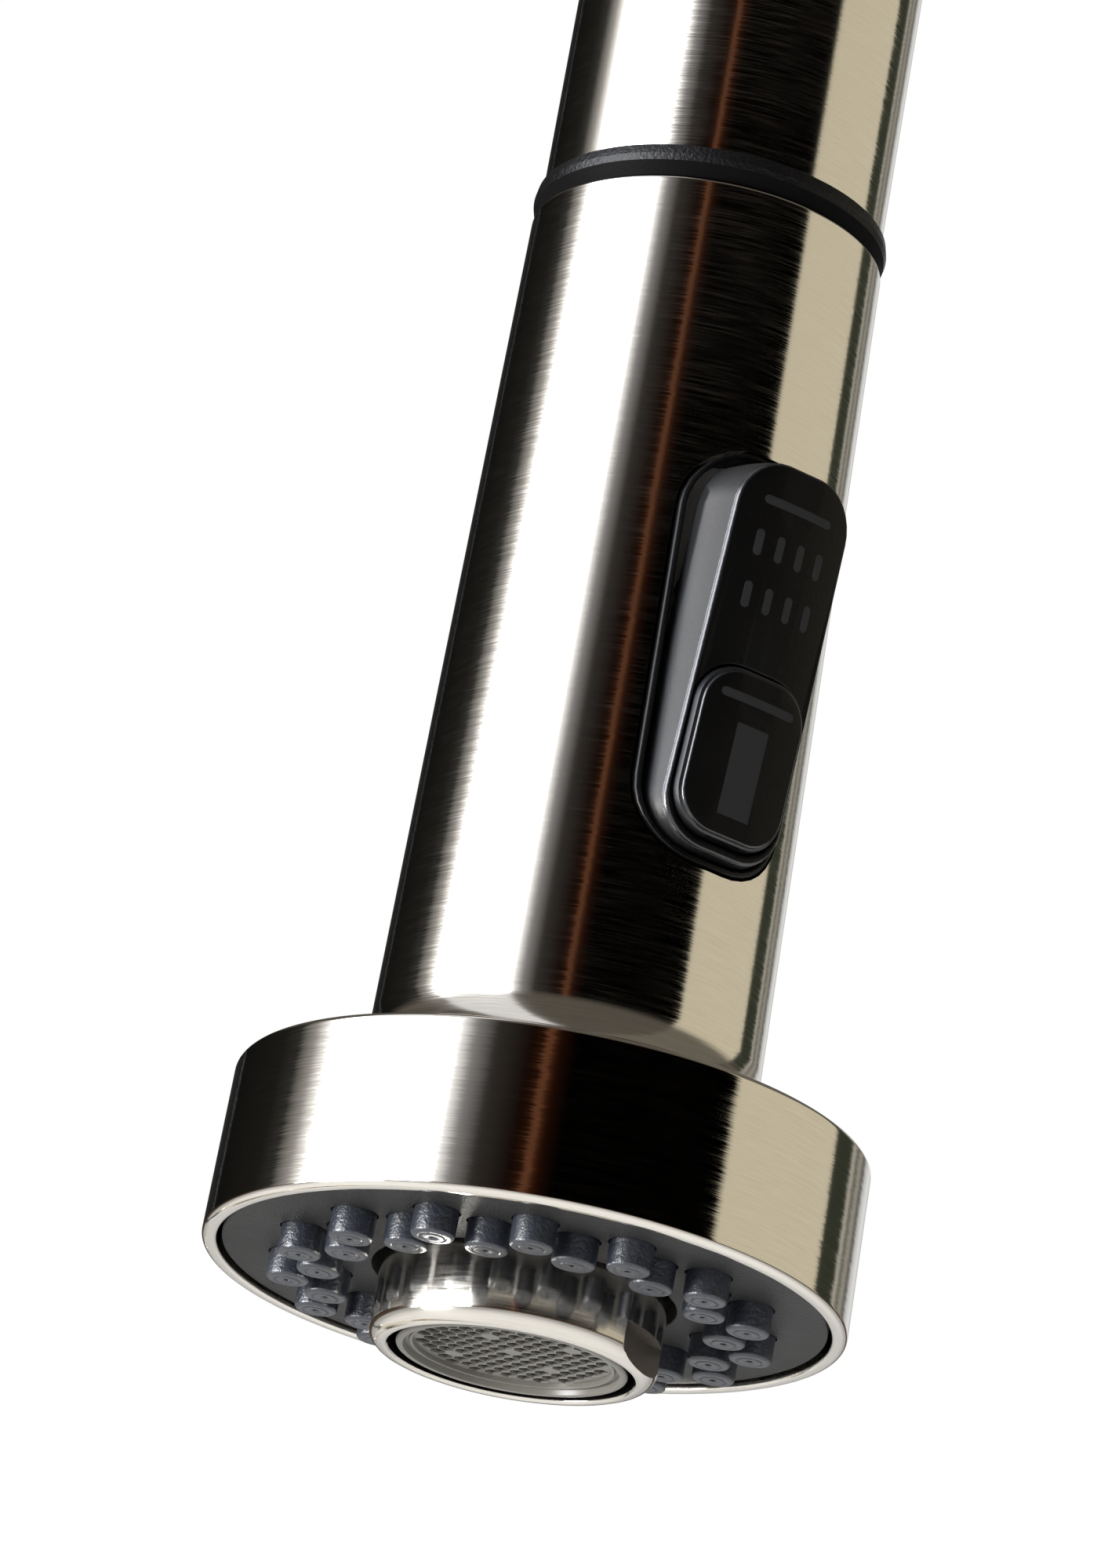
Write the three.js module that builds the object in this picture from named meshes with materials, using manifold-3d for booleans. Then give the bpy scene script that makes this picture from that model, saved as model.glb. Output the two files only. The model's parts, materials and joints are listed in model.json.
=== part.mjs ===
// Pull-down kitchen faucet: single-lever mixer body, swivelling gooseneck spout and a
// two-mode spray head on a hose that pulls out of the spout.
// Millimetres, +Z up. The origin is on the counter top, under the middle of the base.
// The spout reaches towards -Y (the sink and the user), and the lever is on the +X side.

import * as THREE from "three";
import { mergeVertices } from "three/addons/utils/BufferGeometryUtils.js";
import Module from "manifold-3d";

const wasm = await Module();
wasm.setup();

// ---------------------------------------------------------------- driving dimensions

const GAP = 0.3; // clearance between touching pieces
const FINE = 32; // sides of the large round pieces
const MEDIUM = 24;
const COARSE = 12;

const REACH = 210; // spout centre line, column to outlet
const HEAD_Z = 185; // underside of the spray head above the counter
const SPOUT = { radius: 15, wall: 1.5, foot: 88, drop: 60, arcSteps: 18 };
const HEAD = { height: 95.6, topRadius: 15.43, footRadius: 16.8, bore: 14 };
const DISC = { radius: 27, height: 14.8, lip: 25.7, cavity: 10.8, fillet: 6 };
const COLLAR = { bottom: 95.9, top: 98.3, radius: 15.65, bore: 11.3, sleeve: 13.1, sleeveTop: 124 };
const HOSE = { radius: 5, bore: 3.4, start: 90.3, top: 195, arcStartDeg: 28, end: -62 };
const ARC_Z = HEAD_Z + COLLAR.top + GAP + SPOUT.drop; // centre of the gooseneck's arc

const BODY = { radius: 25, bottom: 7.3, shoulder: 115, top: 118, bore: 22, neck: 18.2 };
const CORE = { radius: 21.4, bottom: 7.6, top: 114.6, socket: 18.2, socketFloor: 86, hoseHole: 7 };
const SHANK = { radius: 16, bore: 14, bottom: -62, top: 19 };
const DECK = 22; // thickness of the counter that the fixing is drawn clamped around
const INLET = { radius: 3.4, bore: 2.2, offset: 9.3, bottom: -10, top: 24 };
const WASHERS = { radius: 25, top: -DECK, rubber: 3, metal: 2 };
const NUT = { top: -DECK - 5.6, height: 14, radius: 24.5, screwOffset: 20.2 };

const VALVE = { z: 62, boss: 20.5, bossEnd: 41, bore: 17.8, seat: 16, cartridge: 17.3, pivot: 42 };
const DOME = { radius: 19.5, inner: 17.6, hole: 11.5 };
const HUB = { radius: 20.5, start: 8, end: 29, cavity: 20.1, lever: 21.4 };
const LEVER = { radius: 4.5, length: 98, thread: 2.7 };

const FACE = { bottom: 0.5, thickness: 2, radius: 25.3, hole: 12.6 };
const NOZZLE = { count: 15, outerRing: 19.5, innerRing: 17, startDeg: -9.2, radius: 1.75, tip: -1.8 };
const AERATOR = { radius: 12.03, bottom: -6.1, top: 12.6, bore: 10.3 };
const INSERT = { radius: 9.7, bottom: -5.85, top: 11.6, rimInside: 9.15, cells: -5 };
const WRENCH_FLAT = { fromAxis: 11.33, top: -2.9, turnDeg: 33 }; // turned from -Y towards +X

const OPENING = { width: 15.6, bottom: 34.4, top: 71.8, corner: 6.4 };
const ROCKER = { pinRadius: 12.2, pinZ: 52, tiltDeg: 6.4, face: 7.04, bottom: -15.7, top: 18.1 };
const ROCKER_OUTLINE = { width: 12.4, corner: 4.4 };
const BUTTON = { bottom: -14.7, top: 0, width: 11, corner: 3.7, proud: 0.8, foot: 5, floor: 3.4 };
const PLUNGER = { radius: 2, z: 61, inner: 2.5, outer: 14.1 };
const POCKET_FLOOR = 7.6; // how far the rocker's pocket floor lies in front of the head's axis

// ---------------------------------------------------------------- materials

function metal(color, roughness) {
  return new THREE.MeshStandardMaterial({ color, roughness, metalness: 1 });
}

function plain(color, roughness) {
  return new THREE.MeshStandardMaterial({ color, roughness, metalness: 0 });
}

const brushedNickel = metal(0xb8b2a6, 0.32);
const brass = metal(0xb08d4f, 0.4);
const steel = metal(0x9a9c9e, 0.35);
const blackPlastic = plain(0x121314, 0.5);
const greyPlastic = plain(0x4a4c50, 0.6);
const palePlastic = plain(0xb5b1a8, 0.5);
const whitePlastic = plain(0xdad8d2, 0.5);
const blackRubber = plain(0x1b1b1b, 0.8);
const silicone = plain(0x5d6470, 0.55);
const braid = plain(0x55585c, 0.6);
const magnet = metal(0x6c6f73, 0.3);

// ---------------------------------------------------------------- solids

function toManifold(geometry) {
  const bare = geometry.clone();
  bare.deleteAttribute("normal");
  bare.deleteAttribute("uv");
  const merged = mergeVertices(bare, 1e-4);
  const index = merged.index.array;
  const triangles = [];
  for (let i = 0; i < index.length; i += 3) {
    const [a, b, c] = [index[i], index[i + 1], index[i + 2]];
    if (a !== b && b !== c && c !== a) triangles.push(a, b, c);
  }
  return new wasm.Manifold(
    new wasm.Mesh({
      numProp: 3,
      vertProperties: merged.attributes.position.array,
      triVerts: new Uint32Array(triangles),
    }),
  );
}

function toGeometry(manifold) {
  const mesh = manifold.getMesh();
  const geometry = new THREE.BufferGeometry();
  geometry.setAttribute("position", new THREE.BufferAttribute(mesh.vertProperties, 3));
  geometry.setIndex(new THREE.BufferAttribute(mesh.triVerts, 1));
  return geometry;
}

function join(base, ...others) {
  return toGeometry(others.reduce((sum, g) => sum.add(toManifold(g)), toManifold(base)));
}

function cut(base, ...tools) {
  return toGeometry(tools.reduce((rest, g) => rest.subtract(toManifold(g)), toManifold(base)));
}

function common(base, other) {
  return toGeometry(toManifold(base).intersect(toManifold(other)));
}

// A body of revolution about Z. The profile lists [radius, z] anticlockwise, and a profile
// that stays off the axis is closed into a ring.
function turned(profile, sides = FINE) {
  const points = profile.map(([r, z]) => new THREE.Vector2(r, z));
  if (profile[0][0] > 0) points.push(points[0].clone());
  return new THREE.LatheGeometry(points, sides).rotateX(Math.PI / 2);
}

function ring(inner, outer, bottom, top, sides = MEDIUM) {
  return turned([[inner, bottom], [outer, bottom], [outer, top], [inner, top]], sides);
}

function rod(radius, bottom, top, sides = COARSE) {
  return turned([[0, bottom], [radius, bottom], [radius, top], [0, top]], sides);
}

function block(x0, x1, y0, y1, z0, z1) {
  const geometry = new THREE.BoxGeometry(x1 - x0, y1 - y0, z1 - z0);
  return geometry.translate((x0 + x1) / 2, (y0 + y1) / 2, (z0 + z1) / 2);
}

function arc(centreR, centreZ, radius, startDeg, endDeg, steps) {
  const points = [];
  for (let i = 0; i <= steps; i += 1) {
    const angle = THREE.MathUtils.degToRad(startDeg + ((endDeg - startDeg) * i) / steps);
    points.push([centreR + radius * Math.cos(angle), centreZ + radius * Math.sin(angle)]);
  }
  return points;
}

// Turns a piece made along +Z so that it runs along +X, or along -Y (outwards at the front).
const alongX = (geometry) => geometry.rotateY(Math.PI / 2);
const alongFront = (geometry) => geometry.rotateX(Math.PI / 2);

// A rounded rectangle in the XY plane, from low to high in Y, extruded along +Z.
function roundedPrism(width, low, high, corner, from, to) {
  const half = width / 2;
  const shape = new THREE.Shape();
  shape.moveTo(-half + corner, low);
  shape.lineTo(half - corner, low);
  shape.absarc(half - corner, low + corner, corner, -Math.PI / 2, 0);
  shape.absarc(half - corner, high - corner, corner, 0, Math.PI / 2);
  shape.absarc(-half + corner, high - corner, corner, Math.PI / 2, Math.PI);
  shape.absarc(-half + corner, low + corner, corner, Math.PI, Math.PI * 1.5);
  const options = { depth: to - from, bevelEnabled: false, curveSegments: 4 };
  return new THREE.ExtrudeGeometry(shape, options).translate(0, 0, from);
}

function piece(name, geometry, material) {
  const mesh = new THREE.Mesh(geometry, material);
  mesh.name = name;
  return mesh;
}

function assembly(...pieces) {
  const group = new THREE.Group();
  group.add(...pieces);
  return group;
}

// ---------------------------------------------------------------- base and deck fixing

function baseFlange() {
  return turned([[17.4, 1.8], [28, 1.8], [28, 4.6], [27.2, 6], [25.6, 7], [17.4, 7]]);
}

// The outer shell: a column with a rounded shoulder, and a round boss for the cartridge.
function bodyShell() {
  const column = turned([
    [BODY.neck, BODY.bottom],
    [BODY.radius, BODY.bottom],
    ...arc(BODY.radius - 6, BODY.top - 6, 6, 0, 90, 4),
    [BODY.neck, BODY.top],
  ]);
  const boss = alongX(rod(VALVE.boss, 0, VALVE.bossEnd, FINE)).translate(0, 0, VALVE.z);
  const inside = rod(BODY.bore, BODY.bottom - 1, BODY.shoulder, FINE);
  const pocket = alongX(rod(VALVE.bore, 0, VALVE.bossEnd + 1, FINE)).translate(0, 0, VALVE.z);
  return cut(join(column, boss), inside, pocket);
}

// The brass waterway inside the shell: the spout turns in its top, the cartridge seats in its
// side, and the shank and the three water connections screw into its foot.
function valveCore() {
  const outer = turned([
    [CORE.hoseHole, CORE.bottom],
    [CORE.radius, CORE.bottom],
    [CORE.radius, CORE.top],
    [CORE.socket, CORE.top],
    [CORE.socket, CORE.socketFloor],
    [CORE.hoseHole, CORE.socketFloor],
  ]);
  const shankSocket = rod(SHANK.radius + GAP, CORE.bottom - 1, SHANK.top + GAP, FINE);
  const seat = alongX(rod(VALVE.bore, VALVE.seat - GAP, 30, FINE)).translate(0, 0, VALVE.z);
  const ports = inletPlaces().map(([x, y]) => {
    return rod(INLET.radius + GAP, SHANK.top, INLET.top + GAP).translate(x, y, 0);
  });
  return cut(outer, shankSocket, seat, ...ports);
}

function inletPlaces() {
  return [[-INLET.offset, 0], [INLET.offset, 0], [0, INLET.offset]];
}

function mountingNut() {
  const body = ring(SHANK.radius + GAP, NUT.radius, NUT.top - NUT.height, NUT.top);
  const holes = [-1, 1].map((side) => {
    return rod(2.3, NUT.top - NUT.height - 1, NUT.top + 1).translate(side * NUT.screwOffset, 0, 0);
  });
  return cut(body, ...holes);
}

function clampScrew(side) {
  const foot = NUT.top - NUT.height;
  const shape = turned([
    [0, foot - 9],
    [3.4, foot - 9],
    [3.4, foot - 6],
    [1.9, foot - 6],
    [1.9, NUT.top],
    [0, NUT.top],
  ], 8);
  return shape.translate(side * NUT.screwOffset, 0, 0);
}

function baseAssembly() {
  const inlets = ["hot_inlet", "cold_inlet", "spray_outlet"].map((name, i) => {
    const [x, y] = inletPlaces()[i];
    const tube = ring(INLET.bore, INLET.radius, INLET.bottom, INLET.top, COARSE);
    return piece(name, tube.translate(x, y, 0), brass);
  });
  const washerBore = SHANK.radius + GAP;
  const metalTop = WASHERS.top - WASHERS.rubber - GAP;
  return assembly(
    piece("base_gasket", ring(17.4, 26, 0, 1.5, FINE), blackRubber),
    piece("base_flange", baseFlange(), brushedNickel),
    piece("body_shell", bodyShell(), brushedNickel),
    piece("valve_core", valveCore(), brass),
    piece("mounting_shank", ring(SHANK.bore, SHANK.radius, SHANK.bottom, SHANK.top, FINE), brass),
    piece("rubber_washer", ring(washerBore, WASHERS.radius, metalTop + GAP, WASHERS.top), blackRubber),
    piece("metal_washer", ring(washerBore, WASHERS.radius, metalTop - WASHERS.metal, metalTop), steel),
    piece("mounting_nut", mountingNut(), brass),
    piece("clamp_screw_left", clampScrew(-1), steel),
    piece("clamp_screw_right", clampScrew(1), steel),
    ...inlets,
  );
}

// ---------------------------------------------------------------- mixing valve and lever

// Everything here is turned about the cartridge's axis, which runs along +X at VALVE.z, and
// [radius, along] profiles count `along` from the faucet's centre line.
function onValveAxis(geometry) {
  return alongX(geometry).translate(0, 0, VALVE.z);
}

function cartridge() {
  return onValveAxis(turned([
    [0, VALVE.seat],
    [VALVE.cartridge, VALVE.seat],
    [VALVE.cartridge, 34],
    [12, 34],
    [12, 44],
    [9, 44],
    [9, 34],
    [0, 34],
  ], MEDIUM));
}

function cartridgeStem() {
  const ball = arc(0, VALVE.pivot, 5, -53, 50, 6);
  return onValveAxis(turned([
    [0, VALVE.pivot - 6],
    [3, VALVE.pivot - 6],
    ...ball,
    [3.2, VALVE.pivot + 25.5],
    [0, VALVE.pivot + 25.5],
  ], COARSE));
}

// A round cap whose sphere is centred on the lever's pivot, so that the hub clears it.
function bonnetDome() {
  const rimDeg = THREE.MathUtils.radToDeg(Math.asin(DOME.hole / DOME.radius));
  const footDeg = 2;
  const outside = arc(0, VALVE.pivot, DOME.radius, 0, 90 - rimDeg, 5);
  const holeDeg = THREE.MathUtils.radToDeg(Math.asin(DOME.hole / DOME.inner));
  const inside = arc(0, VALVE.pivot, DOME.inner, 90 - holeDeg, footDeg, 4);
  const foot = [[15.5, 39], [17.4, 39], [17.4, 41.3], [19.4, 41.3]];
  return onValveAxis(turned([...foot, ...outside, ...inside, [15.5, 41.5]], MEDIUM));
}

function leverHub() {
  const start = VALVE.pivot + HUB.start;
  const end = VALVE.pivot + HUB.end;
  const rimDeg = THREE.MathUtils.radToDeg(Math.asin(HUB.start / HUB.cavity));
  const body = onValveAxis(turned([
    [0, VALVE.pivot + HUB.cavity],
    ...arc(0, VALVE.pivot, HUB.cavity, 72, rimDeg, 4),
    [HUB.radius, start],
    ...arc(HUB.radius - 3, end - 3, 3, 0, 90, 3),
    [0, end],
  ], MEDIUM));
  const stemHole = onValveAxis(rod(3.5, VALVE.pivot + 15, VALVE.pivot + 26));
  const leverX = VALVE.pivot + HUB.lever;
  const leverHole = rod(LEVER.thread + GAP, 12, 30).translate(leverX, 0, VALVE.z);
  const screwHole = rod(2.3, -30, 0).translate(leverX, 0, VALVE.z);
  const plugHole = rod(3.3, -30, -17.8).translate(leverX, 0, VALVE.z);
  return cut(body, stemHole, leverHole, screwHole, plugHole);
}

function leverRod() {
  const profile = [
    [0, 12.4],
    [LEVER.thread, 12.4],
    [LEVER.thread, 20.9],
    [LEVER.radius, 20.9],
    [LEVER.radius, LEVER.length - 1],
    [LEVER.radius - 1, LEVER.length],
    [0, LEVER.length],
  ];
  return turned(profile, MEDIUM).translate(VALVE.pivot + HUB.lever, 0, VALVE.z);
}

function valveAssembly() {
  const leverX = VALVE.pivot + HUB.lever;
  return assembly(
    piece("cartridge", cartridge(), whitePlastic),
    piece("cartridge_nut", onValveAxis(ring(12.4, 17.4, 34.4, 38.6)), brass),
    piece("cartridge_carrier", onValveAxis(ring(5.8, 8.6, 34.4, 36.6, COARSE)), palePlastic),
    piece("cartridge_stem", cartridgeStem(), steel),
    piece("bonnet_dome", bonnetDome(), brushedNickel),
    piece("lever_hub", leverHub(), brushedNickel),
    piece("lever_rod", leverRod(), brushedNickel),
    piece("set_screw", rod(2, -17.2, -3.8).translate(leverX, 0, VALVE.z), steel),
    piece("index_plug", rod(3, -20.6, -18.1).translate(leverX, 0, VALVE.z), greyPlastic),
  );
}

// ---------------------------------------------------------------- spout

// The route up the column, over the arc and down towards the outlet. It is sampled at its
// foot, at arcSteps even steps of the arc, and at its mouth, so the straights stay plain.
class GooseneckRoute extends THREE.Curve {
  constructor(foot, mouth, startDeg, endDeg, steps) {
    super();
    Object.assign(this, { foot, mouth, startDeg, endDeg, steps });
    this.sections = steps + (foot === null ? 0 : 1) + (mouth === null ? 0 : 1);
  }

  arcAngle(u) {
    const step = Math.round(u * this.sections) - (this.foot === null ? 0 : 1);
    const share = Math.min(Math.max(step / this.steps, 0), 1);
    return THREE.MathUtils.degToRad(this.startDeg + (this.endDeg - this.startDeg) * share);
  }

  getPointAt(u, target = new THREE.Vector3()) {
    const angle = this.arcAngle(u);
    const radius = REACH / 2;
    target.set(0, radius * (Math.cos(angle) - 1), ARC_Z + radius * Math.sin(angle));
    const section = Math.round(u * this.sections);
    if (this.foot !== null && section === 0) target.z = this.foot;
    if (this.mouth !== null && section === this.sections) target.z = this.mouth;
    return target;
  }

  getTangentAt(u, target = new THREE.Vector3()) {
    const angle = this.arcAngle(u);
    return target.set(0, -Math.sin(angle), Math.cos(angle));
  }
}

function swept(route, radius, bore, sides) {
  const section = polygon(new THREE.Shape(), radius, sides);
  if (bore > 0) section.holes.push(polygon(new THREE.Path(), bore, sides));
  const options = { steps: route.sections, extrudePath: route, bevelEnabled: false };
  return new THREE.ExtrudeGeometry(section, options);
}

function polygon(path, radius, sides) {
  for (let i = 0; i < sides; i += 1) {
    const angle = (2 * Math.PI * i) / sides;
    const [x, y] = [radius * Math.cos(angle), radius * Math.sin(angle)];
    if (i === 0) path.moveTo(x, y);
    else path.lineTo(x, y);
  }
  path.closePath();
  return path;
}

function spoutTube() {
  const route = new GooseneckRoute(SPOUT.foot, HEAD_Z + COLLAR.top + GAP, 0, 180, SPOUT.arcSteps);
  return swept(route, SPOUT.radius, SPOUT.radius - SPOUT.wall, 18);
}

// The hose that waits inside the spout. It ends in the arc, above the straight end piece that
// slides out with the spray head.
function pulloutHose() {
  const route = new GooseneckRoute(HOSE.end, null, 0, 180 - HOSE.arcStartDeg, SPOUT.arcSteps - 4);
  return swept(route, HOSE.radius, 0, 8);
}

function oRing(z) {
  return turned(arc(16.6, z, 1.1, 0, 300, 5), 16);
}

function swivelAssembly() {
  return assembly(
    piece("swivel_bushing", ring(15.35, 17.8, 100, 114), whitePlastic),
    piece("swivel_trim_ring", ring(15.4, 19.3, 118.3, 121.5, FINE), brushedNickel),
    piece("spout_o_ring_lower", oRing(94.6), blackRubber),
    piece("spout_o_ring_upper", oRing(97.8), blackRubber),
  );
}

function spoutCollar() {
  return turned([
    [COLLAR.bore, COLLAR.bottom],
    [15.1, COLLAR.bottom],
    [COLLAR.radius, COLLAR.bottom + 0.8],
    [COLLAR.radius, COLLAR.bottom + 1.5],
    [15.05, COLLAR.top],
    [COLLAR.sleeve, COLLAR.top],
    [COLLAR.sleeve, COLLAR.sleeveTop],
    [COLLAR.bore, COLLAR.sleeveTop],
  ]);
}

function spoutAssembly() {
  const dock = assembly(
    piece("spout_collar", spoutCollar(), blackPlastic),
    piece("dock_magnet", ring(6.6, 11, 107.2, 111, COARSE), magnet),
    piece("hose_guide", ring(6, 11, 111.3, 123, COARSE), whitePlastic),
  );
  dock.position.set(0, -REACH, HEAD_Z);
  return assembly(
    piece("spout_tube", spoutTube(), brushedNickel),
    piece("swivel_retainer", ring(15.35, 17.8, 88.5, 92.5), brass),
    piece("pullout_hose", pulloutHose(), braid),
    dock,
  );
}

// ---------------------------------------------------------------- spray head

// From here on z counts up from the underside of the spray head, and the axis of the head is
// the Z axis.

function hosePieces() {
  const tail = turned([[3, 74.6], [6.9, 74.6], [6.9, 75.8], [5, 75.8], [5, 90], [3, 90]], COARSE);
  return [
    piece("hose_end", ring(HOSE.bore, HOSE.radius, HOSE.start, HOSE.top, COARSE), braid),
    piece("hose_ferrule", ring(5.3, 6.5, 90.4, 104, COARSE), steel),
    piece("hose_tail", tail, brass),
  ];
}

function headShell() {
  const wandRadius = (z) => {
    const share = z / HEAD.height;
    return HEAD.footRadius + (HEAD.topRadius - HEAD.footRadius) * share;
  };
  const filletTop = DISC.height + DISC.fillet;
  const shell = turned([
    [DISC.lip, 0],
    [DISC.radius - 0.5, 0],
    [DISC.radius, 0.5],
    [DISC.radius - 0.2, DISC.height - 0.6],
    [DISC.radius - 0.8, DISC.height],
    ...arc(wandRadius(filletTop) + DISC.fillet, filletTop, DISC.fillet, 270, 180, 5),
    [HEAD.topRadius, HEAD.height - 0.4],
    [HEAD.topRadius - 0.4, HEAD.height],
    [HEAD.bore, HEAD.height],
    [HEAD.bore, DISC.cavity],
    [DISC.lip, DISC.cavity],
  ]);
  const { width, bottom, top, corner } = OPENING;
  return cut(shell, alongFront(roundedPrism(width, bottom, top, corner, 8, 20)));
}

// The moulded waterway: an inlet socket and check valve seat at the top, a pocket for the
// rocker at the front, and the spray chamber and aerator socket at the foot.
function headCore() {
  const outer = turned([
    [12.4, 4.8],
    [24.7, 4.8],
    [24.7, 10.4],
    [13.4, 10.4],
    [13.4, 88],
    [7.7, 88],
    [7.7, 74],
    [5.6, 74],
    [5.6, 64.7],
    [3.6, 64.7],
    [3.6, 14],
    [12.4, 14],
  ]);
  const pocket = block(-8, 8, -20, -POCKET_FLOOR, OPENING.bottom - 2, OPENING.top + 2);
  const bore = alongFront(rod(PLUNGER.radius + GAP, 0, POCKET_FLOOR + 1));
  const plungerBore = bore.translate(0, 0, PLUNGER.z);
  const tip = -ROCKER.pinRadius - 1.6;
  const post = block(-2, 2, tip, -POCKET_FLOOR + 0.5, ROCKER.pinZ - 2, ROCKER.pinZ + 2);
  return cut(join(cut(outer, pocket, plungerBore), post), pinHole(1.1, 3));
}

function pinHole(radius, half) {
  return alongX(rod(radius, -half, half, 12)).translate(0, -ROCKER.pinRadius, ROCKER.pinZ);
}

// The rim of the opening: a frame whose outer face follows the shell.
function buttonBezel() {
  const { width, bottom, top, corner } = OPENING;
  const outer = roundedPrism(width - 2 * GAP, bottom + GAP, top - GAP, corner - GAP, 12.4, 20);
  const rim = 0.8;
  const inner = roundedPrism(width - 2 * rim, bottom + rim, top - rim, corner - rim, 12, 21);
  const frame = alongFront(cut(outer, inner));
  return common(frame, rod(HEAD.topRadius + 0.75, bottom - 1, top + 1, FINE));
}

// The rocker and its small button are drawn in the rocker's own frame: x across, y up along
// the face and z out through the face, from the pin's axis. This puts them in place.
function onRocker(geometry) {
  const tilt = THREE.MathUtils.degToRad(ROCKER.tiltDeg);
  return geometry.rotateX(Math.PI / 2 + tilt).translate(0, -ROCKER.pinRadius, ROCKER.pinZ);
}

function rocker() {
  const { bottom, top, face } = ROCKER;
  const outline = new THREE.Shape();
  const back = 1.2;
  outline.setFromPoints([
    [back, bottom - 0.2], [back, -4], [-1.8, -3], [-1.8, 3], [back, 4], [back, top + 0.2],
    [face - 0.9, top - 0.3], [face, top - 1.2], [face, bottom + 1.2], [face - 0.9, bottom + 0.3],
  ].map(([out, up]) => new THREE.Vector2(out, up)));
  const { width, corner } = ROCKER_OUTLINE;
  const options = { depth: width, bevelEnabled: false };
  // The outline's x runs out through the face, so turning it about y lays its depth across.
  const across = new THREE.ExtrudeGeometry(outline, options).rotateY(-Math.PI / 2);
  const side = across.translate(width / 2, 0, 0);
  const front = roundedPrism(width, bottom - 0.2, top + 0.2, corner, -3, 9);
  const [low, high] = [BUTTON.bottom - GAP, BUTTON.top + GAP];
  const pocketCorner = BUTTON.corner + GAP;
  const pocket = roundedPrism(BUTTON.width + 2 * GAP, low, high, pocketCorner, BUTTON.floor, 9);
  const slot = block(-2.4, 2.4, -2.6, 2.6, -3, 2.3);
  const pin = alongX(rod(1.2, -8, 8, 12));
  return onRocker(cut(common(side, front), pocket, slot, pin));
}

function streamButton() {
  const { width, corner, bottom, top, foot } = BUTTON;
  const body = roundedPrism(width, bottom, top, corner, foot, ROCKER.face + BUTTON.proud);
  const middle = (bottom + top) / 2;
  const recess = rod(2.3, foot - 1, foot + 1.8).translate(0, middle, 0);
  return onRocker(cut(body, recess));
}

function buttonSpring() {
  const middle = (BUTTON.bottom + BUTTON.top) / 2;
  const coil = ring(1.3, 1.9, BUTTON.floor + GAP, BUTTON.foot + 1.5, 12).translate(0, middle, 0);
  return onRocker(coil);
}

function buttonPieces() {
  const plunger = alongFront(rod(PLUNGER.radius, PLUNGER.inner, PLUNGER.outer));
  return [
    piece("button_bezel", buttonBezel(), blackPlastic),
    piece("rocker_pin", pinHole(0.8, 4.6), steel),
    piece("spray_rocker", rocker(), blackPlastic),
    piece("stream_button", streamButton(), blackPlastic),
    piece("stream_button_spring", buttonSpring(), steel),
    piece("diverter_plunger", plunger.translate(0, 0, PLUNGER.z), palePlastic),
  ];
}

function checkValvePieces() {
  const body = turned([
    [1.6, 65], [5.2, 65], [5.2, 73.6], [2.2, 73.6], [2.2, 72.1], [3.5, 72.1], [3.5, 65.8], [1.6, 65.8],
  ], COARSE);
  const poppet = turned([[0, 65.6], [0.9, 65.6], [0.9, 70.4], [3, 70.4], [3, 71.7], [0, 71.7]], COARSE);
  return [
    piece("check_valve_body", body, palePlastic),
    piece("check_valve_poppet", poppet, whitePlastic),
    piece("check_valve_spring", ring(1.5, 2.1, 66.1, 70.1, 12), steel),
  ];
}

// Where the nozzles stand: two rings, turned half a pitch from each other.
function nozzlePlaces() {
  const pitch = 360 / NOZZLE.count;
  const places = [];
  for (let i = 0; i < NOZZLE.count; i += 1) {
    for (const [radius, offset] of [[NOZZLE.outerRing, 0], [NOZZLE.innerRing, pitch / 2]]) {
      const angle = THREE.MathUtils.degToRad(NOZZLE.startDeg + offset + i * pitch);
      places.push([radius * Math.sin(angle), -radius * Math.cos(angle)]);
    }
  }
  return places;
}

function atEachNozzle(radius, bottom, top) {
  return nozzlePlaces().map(([x, y]) => rod(radius, bottom, top, 6).translate(x, y, 0));
}

function facePlate() {
  const top = FACE.bottom + FACE.thickness;
  const plate = ring(FACE.hole, FACE.radius, FACE.bottom, top, FINE);
  return cut(plate, ...atEachNozzle(NOZZLE.radius + GAP, FACE.bottom - 1, top + 1));
}

function nozzleMat() {
  const bottom = FACE.bottom + FACE.thickness + GAP;
  const mat = ring(13.2, 24.6, bottom, bottom + 1.6);
  return join(mat, ...atEachNozzle(NOZZLE.radius, NOZZLE.tip, bottom + 0.5));
}

function aeratorHousing() {
  const { radius, bottom, top, bore } = AERATOR;
  const body = turned([
    [bore, bottom],
    [radius - 0.7, bottom],
    [radius, bottom + 0.8],
    [radius, top],
    [bore - 0.3, top],
    [bore - 0.3, bottom + 2],
  ]);
  const flats = [0, 180].map((half) => {
    const side = block(WRENCH_FLAT.fromAxis, radius + 1, -6, 6, bottom - 1, WRENCH_FLAT.top);
    return side.rotateZ(THREE.MathUtils.degToRad(WRENCH_FLAT.turnDeg - 90 + half));
  });
  return cut(body, ...flats);
}

function facePieces() {
  const { radius, bottom, top, rimInside, cells } = INSERT;
  const rim = [[rimInside, cells], [rimInside, bottom], [radius, bottom], [radius, top]];
  const insert = turned([[0, cells], ...rim, [0, top]], MEDIUM);
  return [
    piece("face_plate", facePlate(), greyPlastic),
    piece("nozzle_mat", nozzleMat(), silicone),
    piece("aerator_housing", aeratorHousing(), brushedNickel),
    piece("aerator_insert", insert, palePlastic),
    piece("aerator_seal", ring(6, 11.6, 12.8, 13.7, MEDIUM), blackRubber),
  ];
}

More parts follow.
